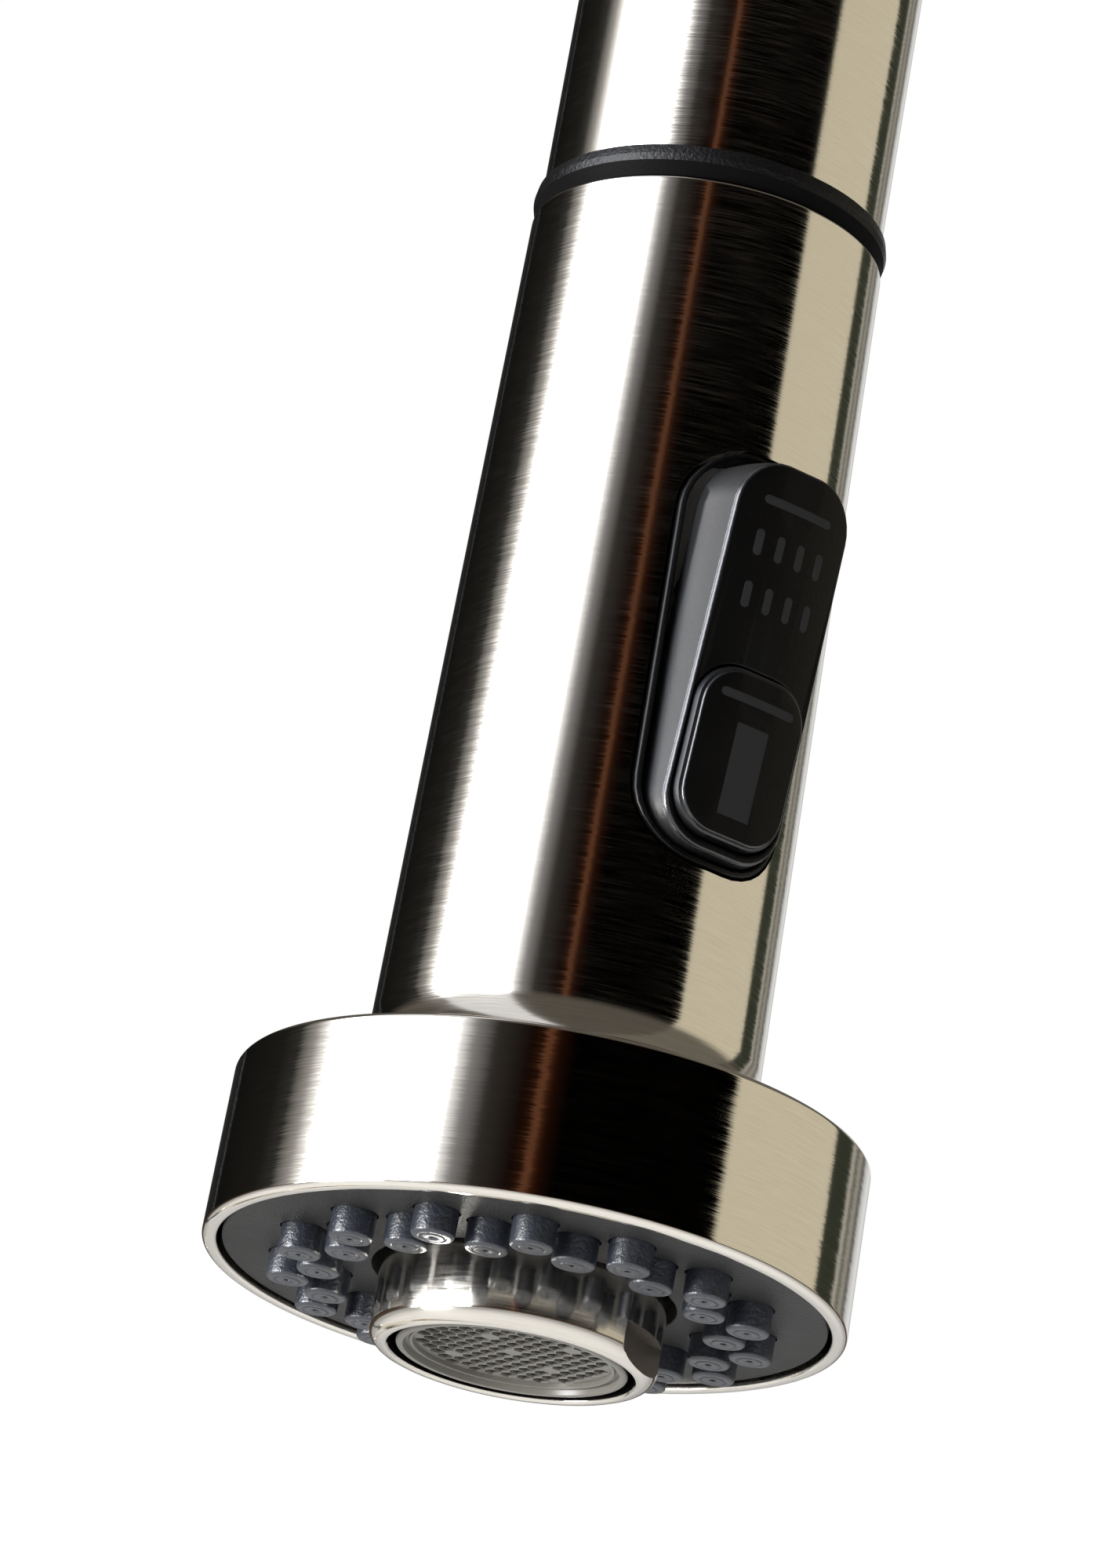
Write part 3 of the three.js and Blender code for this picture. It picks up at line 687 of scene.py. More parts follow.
def aerator():
    profile = [
        (10.3, -5.9, 0.15), (10.45, AERATOR_FOOT, 0.12), (AERATOR_R, AERATOR_FOOT, 1.3),
        (AERATOR_R, 12.6, 0.2), (10, 12.6), (10, -4.2), (10.3, -4.2),
    ]
    housing = turned("aerator_housing", profile, HEAD, sides=192)
    housing = cut(housing, *[flat_tool(degrees) for degrees in FLAT_ANGLES])
    dress(housing, "aerator_housing", "spray_head", RIM_NICKEL, MILLED_SHADE, BLACK_SHADE)
    for face in housing.data.polygons:
        spot = (face.center - HEAD) / MM
        reach = math.hypot(spot.x, spot.y)
        shelf = face.normal.z < -0.9 and spot.z > FLAT_TOP - 0.3 and reach > FLAT_REACH - 0.33
        upright = abs(face.normal.z) < 0.1 and spot.z < FLAT_TOP - 0.05
        # The flats and the ledge above them get the milled metal, painted dark as shade.
        if shelf or (upright and reach < AERATOR_R - 0.08 and face.normal.dot(spot) > 0):
            face.material_index = 1
        # The bore round the insert gets the dull black, as painted shade in the gap.
        elif reach < 10.6 and spot.z > -5.8:
            face.material_index = 2


INSERT_R = 9.7
CELL_FACE = -5.05
CELL_PITCH = 1.36
CELL_TURN = -33  # degrees, of the rows
CELL_LIMIT = 8.1
CELL_LAYERS = ((-5.1, 0.72), (-4.85, 0.68), (-3.2, 0.62))  # height and reach of a cell's corners
SOLID_CELLS = ((0, 0), (3, -4), (3, 2), (-3, -2), (-3, 3))


def cell_places():
    for row in range(-7, 8):
        for column in range(-7, 8):
            x = (column + (row % 2) / 2) * CELL_PITCH
            y = row * CELL_PITCH * math.sqrt(3) / 2
            if math.hypot(x, y) < CELL_LIMIT and (row, column) not in SOLID_CELLS:
                yield x, y


def aerator_insert():
    """The stream straightener: two stepped rings round a honeycomb."""
    profile = [
        (0, CELL_FACE), (8.3, CELL_FACE), (8.3, -5.45, 0.08), (8.55, -5.45, 0.08), (8.62, -5.25, 0.04),
        (8.95, -5.25, 0.05), (9.05, -5.85, 0.1), (INSERT_R, -5.85, 0.3), (INSERT_R, 11.6), (0, 11.6),
    ]
    body = turned("aerator_insert", profile, HEAD, sides=128)
    verts = []
    faces = []
    for x, y in cell_places():
        start = len(verts)
        for z, grow in CELL_LAYERS:
            for corner in range(6):
                angle = TURN * (corner + 0.5) / 6
                verts.append((x + grow * math.cos(angle), y + grow * math.sin(angle), z))
        faces += band(start, start + 6, 6) + band(start + 6, start + 12, 6)
        faces.append(tuple(start + i for i in reversed(range(6))))
        faces.append(tuple(start + 12 + i for i in range(6)))
    tool = new_piece("cell_tool", verts, faces)
    tool.data.transform(Matrix.Rotation(math.radians(CELL_TURN), 4, "Z"))
    body = cut(body, put(tool, HEAD))
    dress(body, "aerator_insert", "spray_head", PALE, CELL_SHADE, BLACK_SHADE)
    for face in body.data.polygons:
        spot = (face.center - HEAD) / MM
        reach = math.hypot(spot.x, spot.y)
        # The insert's outer wall, seen in the gap, gets the dull black as painted shade.
        if reach > INSERT_R - 0.1 and abs(face.normal.z) < 0.3:
            face.material_index = 2
        # The cells' inner walls get the darker copy, as painted shade.
        elif CELL_FACE + 0.1 < spot.z < -3 and reach < 9:
            face.material_index = 1


NOZZLES = 15
NOZZLE_RINGS = ((19.5, -9.2), (17.0, 2.8))  # radius, and the first one's angle from the front


def nozzle_places():
    for radius, start in NOZZLE_RINGS:
        for i in range(NOZZLES):
            yield HEAD + facing(math.radians(start) + TURN * i / NOZZLES) * radius * MM


def spray_face():
    profile = [(12.75, 0.5, 0.12), (25.35, 0.5, 0.15), (25.35, 2.5), (12.75, 2.5)]
    plate = turned("face_plate", profile, HEAD, sides=256)
    nozzle = [
        (0, -1.0), (0.24, -1.0), (0.26, -1.74, 0.05), (0.6, -1.82, 0.08), (0.95, -1.82, 0.06),
        (1.02, -1.7, 0.05), (1.12, -1.7, 0.05), (1.2, -1.78, 0.05), (1.82, -1.78, 0.32),
        (1.86, 3.2), (0, 3.2),
    ]
    holes = []
    nozzles = []
    for spot in nozzle_places():
        holes.append(plug("nozzle_hole", 1.98, -1, 4, spot, sides=32))
        nozzles.append(turned("nozzle", nozzle, spot, sides=32, steps=3))
    mat = turned("mat", [(13.2, 2.8), (24.6, 2.8), (24.6, 4.4), (13.2, 4.4)], HEAD)
    dress(cut(plate, merged("hole_tool", holes)), "face_plate", "spray_head")
    dress(merged("nozzle_mat", [mat, *nozzles]), "nozzle_mat", "spray_head")


# ---------------- rocker and stream button

# These are drawn like the part's: x across, y up along the face, z out through it, from the pin.
TILT = math.radians(6.4)
ROCKER_LOW, ROCKER_HIGH, ROCKER_W, FACE_Z = -15.9, 18.3, 12.4, 7.04
BUTTON_LOW, BUTTON_HIGH, BUTTON_W, BUTTON_Z = -14.7, 0.0, 11.0, 7.84
CROWN = 0.018
TAPER = 0.05  # the rocker is a little narrower at its top
MARK_LIFT = 0.015


def put_on_rocker(piece):
    piece.data.transform(Matrix.Rotation(TURN / 4 + TILT, 4, "X"))
    return put(piece, ROCKER_PIN)


def mark(name, x, low, high, width, face):
    """A shallow printed mark, raised by a hair, that follows the face's crown."""
    corner = min(width, high - low) / 2 - 0.01
    slab = pill(name, width, low, high, min(corner, 0.38), [(0, face - 0.2), (0, face + MARK_LIFT)])
    for vert in slab.data.vertices:
        vert.co.x += x
        vert.co.z -= CROWN * vert.co.x * vert.co.x
    return slab


def grid_mark(name, half_width, low, high, face):
    """A wide mark, cut into strips so that it follows the crown. A narrow one has round ends."""
    reach = (high - low) / 2
    middle_y = (low + high) / 2
    cap = reach if reach < 0.5 else 0
    inner = half_width - cap
    spots = [(inner * i / 4, reach) for i in range(-4, 5)]
    for turn in (30, 55, 75, 88) if cap else ():
        angle = math.radians(turn)
        out, tall = inner + cap * math.sin(angle), reach * math.cos(angle)
        spots = [(-out, tall), *spots, (out, tall)]
    verts = []
    for lift in (-0.2, MARK_LIFT):
        for x, tall in spots:
            z = face + lift - CROWN * x * x
            verts += [(x, middle_y - tall, z), (x, middle_y + tall, z)]
    row = 2 * len(spots)
    faces = []
    for a in range(0, row - 2, 2):
        faces.append((row + a, row + a + 2, row + a + 3, row + a + 1))
        faces.append((a, a + 1, a + 3, a + 2))
        faces.append((a, a + 2, row + a + 2, row + a))
        faces.append((a + 1, row + a + 1, row + a + 3, a + 3))
    last = row - 2
    faces.append((0, row, row + 1, 1))
    faces.append((last, last + 1, row + last + 1, row + last))
    return new_piece(name, verts, faces)


def rocker():
    layers = [(-0.32, 1.2), (-0.28, 3.2), (-0.12, 5.2), (0.06, 6.6)]
    layers += edge_arc(0.36, FACE_Z, 0.1)
    layers += [(1.2, FACE_Z)]
    body = pill("rocker", ROCKER_W, ROCKER_LOW, ROCKER_HIGH, 4.4, layers, crown=CROWN, fan=True)
    for vert in body.data.vertices:
        vert.co.x *= 1 - TAPER * (vert.co.y - ROCKER_LOW) / (ROCKER_HIGH - ROCKER_LOW)
    pocket = [(0.0, 3.4), (0.0, FACE_Z - 0.5), (-0.05, FACE_Z - 0.42), (-0.2, FACE_Z + 0.3), (-0.2, 9)]
    tool = pill("pocket_tool", BUTTON_W + 0.44, BUTTON_LOW - 0.22, BUTTON_HIGH + 0.22, 3.92, pocket)
    body = boolean(smooth(body), smooth(tool), "DIFFERENCE")
    for side in (-1, 1):
        lug = pill("lug", 2.4, -3.4, 3.4, 0.5, [(0, -1.75), (0, 1.5)])
        lug.data.transform(Matrix.Translation((side * 4.0, 0, 0)))
        body = boolean(body, smooth(lug), "UNION")
    body = boolean(body, plug("pin_tool", 1.1, -8, 8, COLUMN, "X", 32, scale=1), "DIFFERENCE")
    marks = [grid_mark("bar", 3.48, 14.3, 15.06, FACE_Z)]
    for row_y in (10.85, 6.22):
        for column in range(4):
            x = (column - 1.5) * 2.07
            marks.append(mark("drop", x, row_y - 1.15, row_y + 1.15, 0.76, FACE_Z))
    piece = put_on_rocker(merged("spray_rocker", [body, *marks], [0] + [1] * len(marks)))
    dress(piece, "spray_rocker", "rocker", BLACK, MARK, BLACK_LIT_SIDE, BLACK_HIGHLIGHT_EDGE)
    paint_lit_sides(piece)


def paint_lit_sides(piece):
    """The walls get the copy of the black that is painted lighter, as painted light, and the rounded edge
    gets the shiny bluish copy, as a painted highlight line; the face keeps the plain black.
    """
    out = Vector((0, -math.cos(TILT), -math.sin(TILT)))
    for face in piece.data.polygons:
        if face.material_index == 0 and face.normal.dot(out) < 0.93:
            face.material_index = 2 if face.normal.dot(out) < 0.3 else 3


def stream_button():
    layers = [(0.0, 5.0), (0.0, BUTTON_Z - 0.7), (0.12, BUTTON_Z - 0.32), (0.3, BUTTON_Z - 0.24)]
    layers += edge_arc(0.22, BUTTON_Z, 0.36)
    layers += [(1.4, BUTTON_Z)]
    body = pill("button", BUTTON_W, BUTTON_LOW, BUTTON_HIGH, 3.7, layers, crown=CROWN, fan=True)
    seat = pill("seat_tool", 4.6, -9.65, -5.05, 2.29, [(0, 4), (0, 6.8)])
    body = boolean(smooth(body), seat, "DIFFERENCE")
    bar = grid_mark("bar", 3.77, -2.92, -2.16, BUTTON_Z)
    column = grid_mark("column", 1.6, -12.6, -4.65, BUTTON_Z)
    piece = put_on_rocker(merged("stream_button", [body, bar, column], [0, 1, 1]))
    dress(piece, "stream_button", "button", BLACK, MARK, BLACK_LIT_SIDE, BLACK_HIGHLIGHT_EDGE)
    paint_lit_sides(piece)


def coil(name, mean, wire, low, high, turns):
    """A coil spring along z, in mm from its own axis."""
    per_turn, sides = 24, 10
    steps = turns * per_turn
    verts = []
    for step in range(steps + 1):
        angle = TURN * step / per_turn
        z = low + wire + (high - low - 2 * wire) * step / steps
        for i in range(sides):
            round_wire = TURN * i / sides
            reach = mean + wire * math.cos(round_wire)
            rise = wire * math.sin(round_wire)
            verts.append((reach * math.sin(angle), -reach * math.cos(angle), z + rise))
    faces = []
    for step in range(steps):
        faces += band(step * sides, (step + 1) * sides, sides)
    faces += [tuple(range(sides)), tuple(steps * sides + i for i in range(sides))]
    return new_piece(name, verts, faces)


def springs():
    """The stream button's spring, carried by the rocker, and the check valve's spring in the head."""
    low, high = 3.46, 6.5
    spring = coil("stream_button_spring", 1.6, 0.2, low, high, 3)
    spring.data.transform(Matrix.Translation((0, (BUTTON_LOW + BUTTON_HIGH) / 2, 0)))
    dress(smooth(put_on_rocker(spring)), "stream_button_spring", "rocker")
    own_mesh(spring)
    low, high = 66.1, 70.1
    spring = coil("check_valve_spring", 1.8, 0.22, low, high, 4)
    dress(smooth(put(spring, HEAD)), "check_valve_spring", "spray_head")
    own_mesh(spring)


# ---------------- hose, dock and spout

def collar():
    profile = [
        (11.3, 95.9, 0.1), (14.75, 95.9, 0.12), (15.48, 97.0, 0.1), (15.62, 97.6, 0.4),
        (15.45, 98.5, 0.1), (13.1, 98.5), (13.1, 124), (11.3, 124),
    ]
    ring = turned("spout_collar", profile, HEAD, sides=192)
    dress(ring, "spout_collar", "spout", BLACK_COLLAR, BLACK_SHADE)
    # Faces that look down get the duller black, which mirrors less of the floor: painted shade on the
    # underside.
    for face in ring.data.polygons:
        if face.normal.z < -0.3:
            face.material_index = 1


def dock_pieces():
    cone = [
        (7.3, 88.3), (13.6, 88.3, 0.2), (13.6, 95.3, 0.4),
        (10.9, 95.3, 0.2), (10.4, 103.6, 0.4), (7.3, 103.6, 0.2),
    ]
    dress(turned("head_dock_cone", cone, HEAD), "head_dock_cone", "spray_head")
    for node, body, inner, outer, low, high in (
        ("head_magnet", "spray_head", 7.3, 10.2, 103.9, 106.6),
        ("dock_magnet", "spout", 6.6, 11, 107.2, 111),
        ("hose_guide", "spout", 6, 11, 111.3, 123),
    ):
        profile = [(inner, low, 0.2), (outer, low, 0.3), (outer, high, 0.3), (inner, high, 0.2)]
        dress(turned(node, profile, HEAD), node, body)
    crimps = [(5.3, 90.4), (6.5, 90.4, 0.2)]
    for ridge in (92.5, 95.5, 98.5):
        rows = ((6.5, 0), (6.1, 0.7), (6.1, 1.3), (6.5, 2))
        crimps += [(radius, ridge + step, 0.3) for radius, step in rows]
    crimps += [(6.5, 104, 0.3), (5.3, 104)]
    dress(turned("hose_ferrule", crimps, HEAD, sides=96), "hose_ferrule", "hose")


# The tube and the hose are drawn in metres.
ARC_Z = HEAD.z + 0.1586  # the centre of the arc
MOUTH_Z = HEAD.z + 0.0986  # the end of the tube
MOUTH_BEVEL = 0.00008
TUBE_R, TUBE_BORE = 0.015, 0.0135
HOSE_R, HOSE_BORE = 0.005, 0.0034


def straight(y, low, high, steps):
    up = Vector((0, 0, 1))
    return [(Vector((0, y, low + (high - low) * i / steps)), up) for i in range(steps + 1)]


def over_the_arc(foot, end, steps):
    """Up the column from its foot, and round the arc to an angle in degrees."""
    route = straight(0, foot, ARC_Z, 3)[:-1]
    radius = REACH / 2
    for i in range(steps + 1):
        angle = math.radians(end * i / steps)
        point = Vector((0, radius * (math.cos(angle) - 1), ARC_Z + radius * math.sin(angle)))
        route.append((point, Vector((0, -math.sin(angle), math.cos(angle)))))
    return route


def spout_pieces():
    route = over_the_arc(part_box("spout_tube")[0][2], 180, 72)
    for z in (HEAD.z + 0.13, MOUTH_Z + MOUTH_BEVEL, MOUTH_Z):
        route.append((Vector((0, -REACH, z)), Vector((0, 0, -1))))
    tube = swept("spout_tube", route, TUBE_R, TUBE_BORE, sides=128)
    for vert in tube.data.vertices:
        if abs(vert.co.z - MOUTH_Z) < 1e-6 and vert.co.y < -REACH / 2:
            out = Vector((vert.co.x, vert.co.y + REACH, 0))
            if out.length > (TUBE_R + TUBE_BORE) / 2:
                vert.co -= out.normalized() * MOUTH_BEVEL
    dress(tube, "spout_tube", "spout", TUBE_NICKEL)
    tube.visible_glossy = False  # the head mirrors the studio, without its own column in it
    waiting = over_the_arc(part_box("pullout_hose")[0][2], 152, 48)
    dress(swept("pullout_hose", waiting, HOSE_R, 0, sides=32), "pullout_hose", "spout", BRAID)
    low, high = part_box("hose_end")
    end = swept("hose_end", straight(-REACH, low[2], high[2], 4), HOSE_R, HOSE_BORE, sides=48)
    dress(end, "hose_end", "hose", BRAID)


# ---------------- body and lever

def ring_piece(node, inner, outer, round_by, *materials):
    """A ring with rounded edges round the column, between the ends of its CAD node."""
    low, high = ends(node)
    profile = [
        (inner, low, round_by / 2), (outer, low, round_by),
        (outer, high, round_by), (inner, high, round_by / 2),
    ]
    dress(turned(node, profile, COLUMN, sides=192), node, "base", *materials)


def body_shell():
    column = [(18.2, 7.3), (25, 7.3, 0.3), (25, 118, 6), (18.2, 118, 0.3)]
    shell = turned("body_shell", column, COLUMN, sides=192, steps=10)
    boss = turned("boss", [(0, 0), (20.5, 0), (20.5, 41, 0.5), (0, 41)], VALVE, "X", sides=192)
    shell = boolean(shell, boss, "UNION")
    inside = plug("inside", 22, 6, 115, COLUMN)
    pocket = plug("pocket", 17.8, 0, 42, VALVE, "X", sides=128)
    shell = cut(shell, inside, pocket)
    dress(shell, "body_shell", "base", BODY_NICKEL, HUB_NICKEL)
    for face in shell.data.polygons:
        if math.hypot(face.center.x, face.center.y) > 0.02501 and face.center.x > 0:
            face.material_index = 1


def bow(radius, start, end, lift=0.0, steps=24):
    """Points of a ball's profile, between two angles from its equator."""
    angles = [start + (end - start) * i / steps for i in range(steps + 1)]
    return [(radius * math.cos(angle), lift + radius * math.sin(angle)) for angle in angles]


DOME_OUT, DOME_IN, DOME_MOUTH, DOME_FOOT = 19.5, 17.6, 11.5, 42
HUB_HOLLOW = 20.1


def lever_pieces():
    dome = [(15.5, 39), (17.4, 39), (17.4, 41.3), (19.4, 41.3, 0.2)]
    dome += bow(DOME_OUT, 0.03, math.acos(DOME_MOUTH / DOME_OUT), DOME_FOOT)
    dome += bow(DOME_IN, math.acos(DOME_MOUTH / DOME_IN), 0, DOME_FOOT)
    dome.append((15.5, 41.5))
    dress(turned("bonnet_dome", dome, VALVE, "X", sides=160), "bonnet_dome", "base", HUB_NICKEL)

    hub = [(0, HUB_HOLLOW), *bow(HUB_HOLLOW, TURN / 4, math.asin(8 / HUB_HOLLOW))[1:]]
    hub += [(20.5, 8, 0.15), (20.5, 29, 3), (0, 29)]
    body = turned("lever_hub", hub, PIVOT, "X", sides=192, steps=10)
    rod_place = Vector((middle("lever_rod").x, 0, VALVE.z))
    tools = [
        plug("rod_hole", 3.0, 12, 30, rod_place, sides=48),
        plug("screw_hole", 2.3, -30, 0, rod_place, sides=48),
        plug("plug_hole", 3.15, -30, -17.8, rod_place, sides=48),
        plug("stem_hole", 3.5, 15, 26, PIVOT, "X", 48),
    ]
    dress(cut(body, *tools), "lever_hub", "lever", HUB_NICKEL)
    rod = [(0, 12.4), (2.7, 12.4, 0.3), (2.7, 20.9), (4.5, 20.9, 0.3), (4.5, 98, 1.0), (0, 98)]
    rod_nickel = brushed_nickel("brushed_nickel_rod", rod_place)
    dress(turned("lever_rod", rod, rod_place, sides=96), "lever_rod", "lever", rod_nickel)
    button = [(0, -20.6), (3.0, -20.6, 0.4), (3.0, -18.1, 0.1), (0, -18.1)]
    dress(turned("index_plug", button, rod_place, sides=64), "index_plug", "lever")


# ---------------- deck and what is under it

def threaded(name, radius, bore, low, high, pitch, depth, centre, sides=72, rows_per_pitch=8):
    """A tube with a screw thread cut in its outside, which fades out at each end."""
    rows = int((high - low) / pitch * rows_per_pitch)
    verts = []
    faces = []
    for row in range(rows + 1):
        z = low + (high - low) * row / rows
        ease = min(1.0, (z - low) / pitch, (high - z) / pitch)
        for i in range(sides):
            phase = (z / pitch - i / sides) % 1.0
            cut_in = depth * min(1.0, max(0.0, 1.6 * (1 - abs(2 * phase - 1)) - 0.3))
            r = radius - depth * (1 - ease) * 0.5 - cut_in * ease
            angle = TURN * i / sides
            verts.append((r * math.sin(angle), -r * math.cos(angle), z))
    for row in range(rows):
        faces += band(row * sides, (row + 1) * sides, sides)
    inner = len(verts)
    verts += circle(bore, low, sides) + circle(bore, high, sides)
    for start, after in ((inner, inner + sides), (0, inner), (rows * sides, inner + sides)):
        faces += band(start, after, sides)
    return smooth(put(new_piece(name, verts, faces), centre))


def mounting_nut():
    low, high = ends("mounting_nut")
    nut = [(16.3, low, 0.3), (24.5, low, 1.0), (24.5, high, 1.0), (16.3, high, 0.3)]
    body = turned("mounting_nut", nut, COLUMN, sides=128)
    tools = []
    screws = {}
    for node in ("clamp_screw_left", "clamp_screw_right"):
        place = Vector((*middle(node).xy, 0))
        tools.append(plug("screw_hole", 2.3, low - 1, high + 1, place, sides=32))
        foot, top = ends(node)
        shape = [
            (0, foot), (3.4, foot, 0.5), (3.4, foot + 3, 0.3),
            (1.9, foot + 3), (1.9, top, 0.3), (0, top),
        ]
        slot_tool = box_tool("slot_tool", (-4, 4), (-0.5, 0.5), (foot - 1, foot + 1.3))
        screws[node] = cut(turned(node, shape, place, sides=48), put(slot_tool, place))
    for i in range(6):
        notch_place = facing(TURN * (i + 0.5) / 6) * 25.6 * MM
        tools.append(plug("notch", 2.2, low - 1, high + 1, notch_place, sides=32))
    dress(cut(body, *tools), "mounting_nut", "base")
    for node, screw in screws.items():
        dress(screw, node, "base")


def connections():
    for node in ("hot_inlet", "cold_inlet", "spray_outlet"):
        foot, top = ends(node)
        shape = [(2.2, foot, 0.2), (3.4, foot, 0.4)]
        for groove in range(3):
            z = foot + 1.5 + groove * 2
            rows = ((3.4, 0), (3.0, 0.4), (3.0, 0.9), (3.4, 1.2))
            shape += [(radius, z + step, 0.1) for radius, step in rows]
        shape += [(3.4, top, 0.2), (2.2, top)]
        place = Vector((*middle(node).xy, 0))
        dress(turned(node, shape, place, sides=48), node, "base")


def deck_pieces():
    ring_piece("base_gasket", 17.4, 26, 0.5)
    flange = [(17.4, 1.8), (28, 1.8, 0.3), (28, 7.0, 2.2), (17.4, 7.0)]
    dress(turned("base_flange", flange, COLUMN, sides=192), "base_flange", "base", BODY_NICKEL)
    ring_piece("swivel_trim_ring", 15.4, 19.3, 0.5, BODY_NICKEL)
    shank = threaded("mounting_shank", 16, 14, -62, 19, 1.5, 0.7, COLUMN)
    dress(shank, "mounting_shank", "base")
    ring_piece("rubber_washer", 16.3, 25, 0.5)
    ring_piece("metal_washer", 16.3, 25, 0.3)
    mounting_nut()
    connections()


head_shell()
bezel()
aerator()
aerator_insert()
spray_face()
rocker()
stream_button()
springs()
collar()
dock_pieces()
spout_pieces()
body_shell()
lever_pieces()
deck_pieces()


# ---------------- camera, light and floor

CAMERA_AZIMUTH = math.radians(-33.2)  # from the front; the lever side is positive
CAMERA_DISTANCE = 0.53004
CAMERA_DROP = 0.15103
CAMERA_PAN = math.radians(32.62)
CAMERA_PITCH = math.radians(20.253)
CAMERA_ROLL = math.radians(10.183)
CAMERA_LENS = 153.02


def camera():
    data = bpy.data.cameras.new("camera")
    data.sensor_fit = "VERTICAL"
    data.sensor_height = 36
    data.sensor_width = 36
    data.lens = CAMERA_LENS
    data.clip_start = 0.01
    cam = new_object("camera", data)
    away = facing(CAMERA_AZIMUTH) * CAMERA_DISTANCE
    forward = Vector((
        math.sin(CAMERA_PAN) * math.cos(CAMERA_PITCH),
        math.cos(CAMERA_PAN) * math.cos(CAMERA_PITCH),
        math.sin(CAMERA_PITCH),
    ))
    right = forward.cross(Vector((0, 0, 1))).normalized()
    up = right.cross(forward)
    right_rolled = right * math.cos(CAMERA_ROLL) + up * math.sin(CAMERA_ROLL)
    up_rolled = up * math.cos(CAMERA_ROLL) - right * math.sin(CAMERA_ROLL)
    turn = Matrix((right_rolled, up_rolled, -forward)).transposed().to_4x4()
    cam.matrix_world = Matrix.Translation(HEAD + away - Vector((0, 0, CAMERA_DROP))) @ turn
    bpy.context.scene.camera = cam


# Degrees up: where the dark cards come in, where all cards fade out, and where the backdrop is white.
CARDS_FOOT = (6, 12.5)
CARDS_TOP = (29, 36)
HORIZON_TOP = 9
WARM_DARK = (0.09, 0.06, 0.04)
CEILING = (0.11, 0.1, 0.085)
SOFT = (8.0, 8.2, 8.7)
COPPER = (0.13, 0.05, 0.024)
CREAM = (0.64, 0.59, 0.46)
OLIVE = (0.035, 0.04, 0.028)
# Azimuth from the camera's side of the head, and the light that comes from there.
STUDIO = [
    (-180, grey(0.3)), (-172, grey(0.03)), (-150, grey(0.006)),
    (-118, (0.012, 0.012, 0.01)), (-108, (0.03, 0.029, 0.026)), (-99, (0.35, 0.34, 0.33)),
    (-92, (1.3, 1.3, 1.32)), (-88, SOFT), (-43, SOFT), (-38.5, (1.2, 1.2, 1.25)),
    (-33, (0.25, 0.25, 0.26)), (-25, (0.03, 0.028, 0.026)), (-12, (0.006, 0.002, 0.001)),
    (-8, (0.022, 0.007, 0.003)), (-6.8, COPPER), (-5.4, COPPER), (-4.4, (0.05, 0.017, 0.007)),
    (-2.5, (0.012, 0.003, 0.001)), (3, grey(0)), (63.5, grey(0)), (66, CREAM), (119, CREAM),
    (121, OLIVE), (133.5, OLIVE), (137, (0.5, 0.48, 0.42)), (140, (0.12, 0.12, 0.11)),
    (145, (0.35, 0.33, 0.28)), (150, grey(0.1)), (155, grey(0.6)), (163, grey(0.8)), (180, grey(0.3)),
]


def sin_deg(degrees):
    return math.sin(math.radians(degrees))


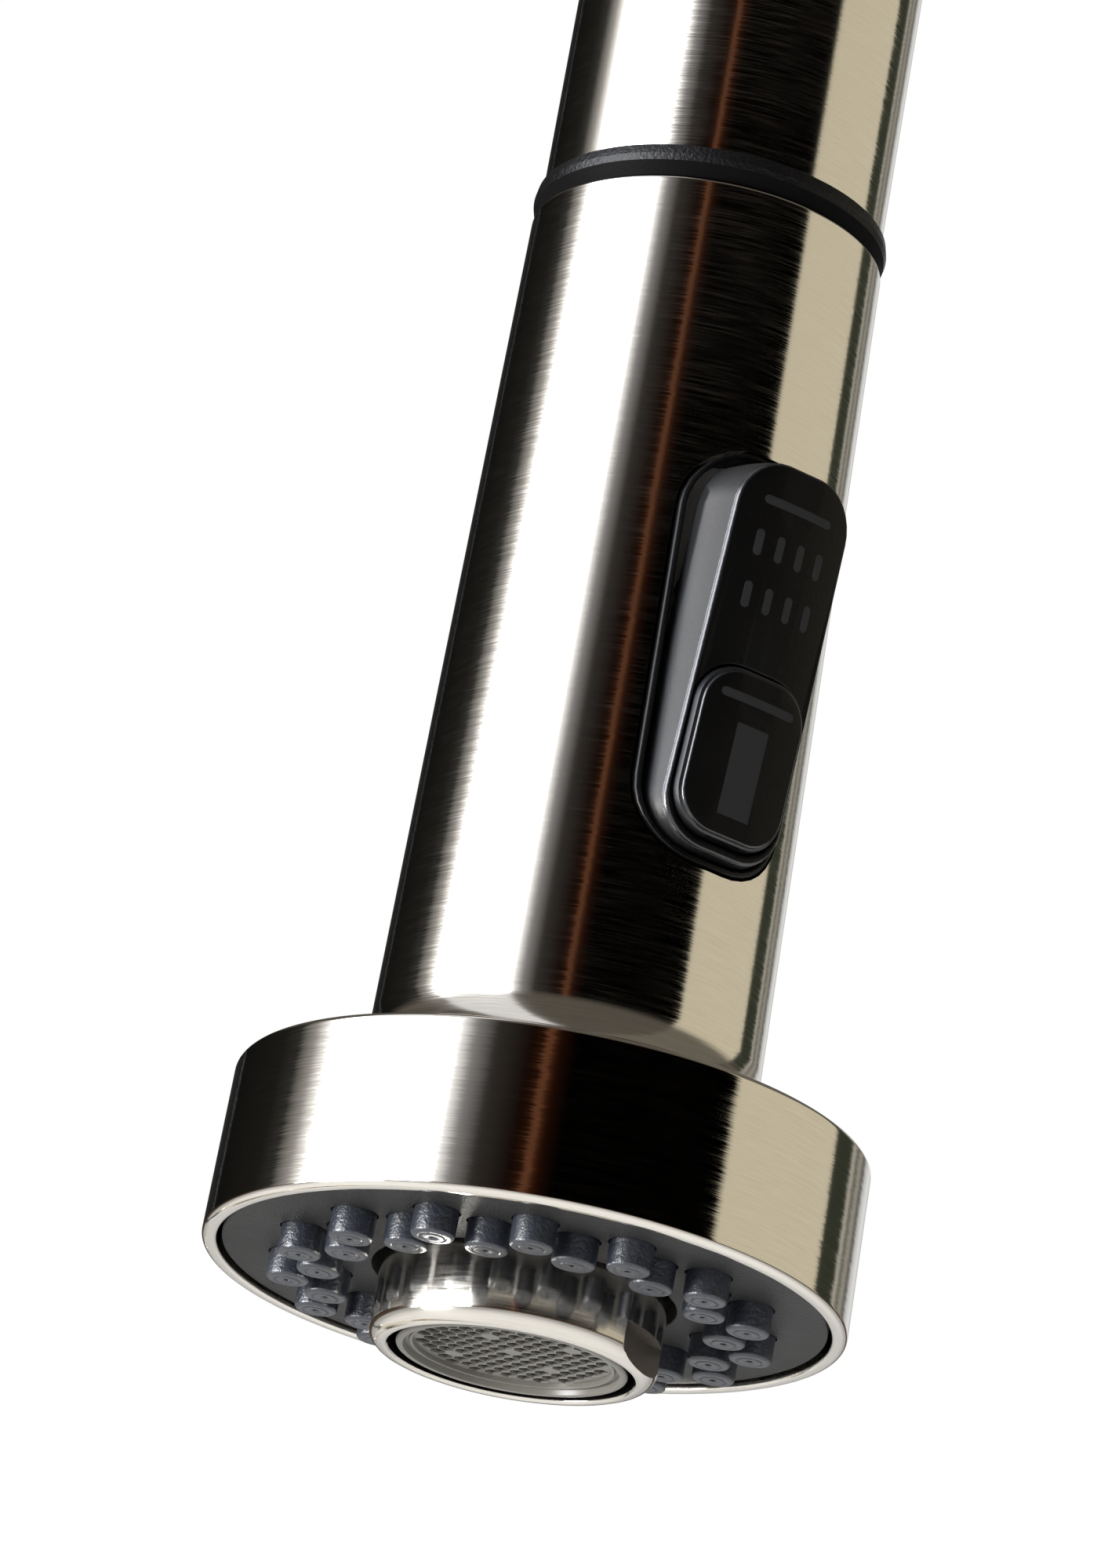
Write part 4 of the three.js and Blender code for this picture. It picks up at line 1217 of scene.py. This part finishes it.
def world():
    """A panorama of cards round the head, which the camera sees as a pale backdrop."""
    scene_world = bpy.data.worlds.new("studio")
    bpy.context.scene.world = scene_world
    scene_world.use_nodes = True
    nodes = Tree(scene_world.node_tree)
    nodes.tree.nodes.clear()
    way = nodes.split(nodes.add("ShaderNodeTexCoord").outputs["Generated"])
    azimuth = nodes.math("ARCTAN2", way["X"], nodes.math("MULTIPLY", way["Y"], -1))
    share = nodes.math("MULTIPLY_ADD", azimuth, 1 / TURN, 0.5 - CAMERA_AZIMUTH / TURN)
    ramp = nodes.add("ShaderNodeValToRGB")
    nodes.fill(ramp, nodes.math("FRACT", share))
    elements = ramp.color_ramp.elements
    for degrees, color in STUDIO:
        position = (degrees + 180) / 360
        known = {-180: elements[0], 180: elements[-1]}
        element = known.get(degrees) or elements.new(position)
        element.position = position
        element.color = (*color, 1)
    # Above and below the cards, the studio is an even dim grey and a pale floor.
    start, end = map(sin_deg, CARDS_TOP)
    cards = nodes.mix(nodes.spread(way["Z"], 0, 0.91, start, end), ramp.outputs[0], CEILING)
    start, end = map(sin_deg, CARDS_FOOT)
    bright = nodes.math("GREATER_THAN", ramp.outputs[0], 1.5)
    shown = nodes.math("MAXIMUM", nodes.spread(way["Z"], 0, 1, start, end), bright)
    cards = nodes.mix(shown, WARM_DARK, cards)
    cards = nodes.mix(nodes.spread(way["Z"], 0, 1, -0.02, -0.12), cards, grey(0.9))
    white = nodes.spread(way["Z"], 0, 1, 0, sin_deg(HORIZON_TOP), interpolation_type="SMOOTHSTEP")
    backdrop = nodes.mix(white, grey(0.4), grey(1))
    seen = nodes.add("ShaderNodeLightPath").outputs["Is Camera Ray"]
    background = nodes.fill(nodes.add("ShaderNodeBackground"), Color=nodes.mix(seen, cards, backdrop))
    nodes.link(background, nodes.add("ShaderNodeOutputWorld").inputs["Surface"])


def floor():
    size = 14.0
    z = cad_bounds[0][2] - MM
    verts = [(-size, -size, z), (size, -size, z), (size, size, z), (-size, size, z)]
    plane = new_piece("floor", verts, [(0, 1, 2, 3)])
    paper = grained("pale_floor", (0.8, 0.8, 0.79), (0.86, 0.86, 0.85), 0.9, grain=40, shine=0.0)
    plane.data.materials.append(paper)


def soft_light(name, shape, size, spread, watts, place):
    data = bpy.data.lights.new(name, "AREA")
    data.shape = shape
    data.size = size
    data.spread = math.radians(spread)
    data.energy = watts
    lamp = new_object(name, data)
    lamp.location = place
    return lamp


def lights():
    """One overhead, and a low one on the camera's left, which lights the sides of the nozzles."""
    overhead = soft_light("overhead", "DISK", 1.0, 80, 4, (0, -0.12, 1.5))
    overhead.visible_glossy = False
    away = facing(CAMERA_AZIMUTH - math.radians(68)) * 0.75
    place = HEAD + away - Vector((0, 0, 0.14))
    key = soft_light("key", "SQUARE", 0.3, 70, 1.3, place)
    key.rotation_euler = (HEAD - place).to_track_quat("-Z", "Y").to_euler()
    key.visible_camera = False


camera()
world()
floor()
lights()

scene = bpy.context.scene
scene.view_settings.view_transform = "Standard"

for node, slot in NODE_SLOTS.items():
    if node not in REPLACED:
        kept = frame["nodes"][node]
        kept.data.materials.clear()
        kept.data.materials.append(SLOT_MATERIALS[slot])
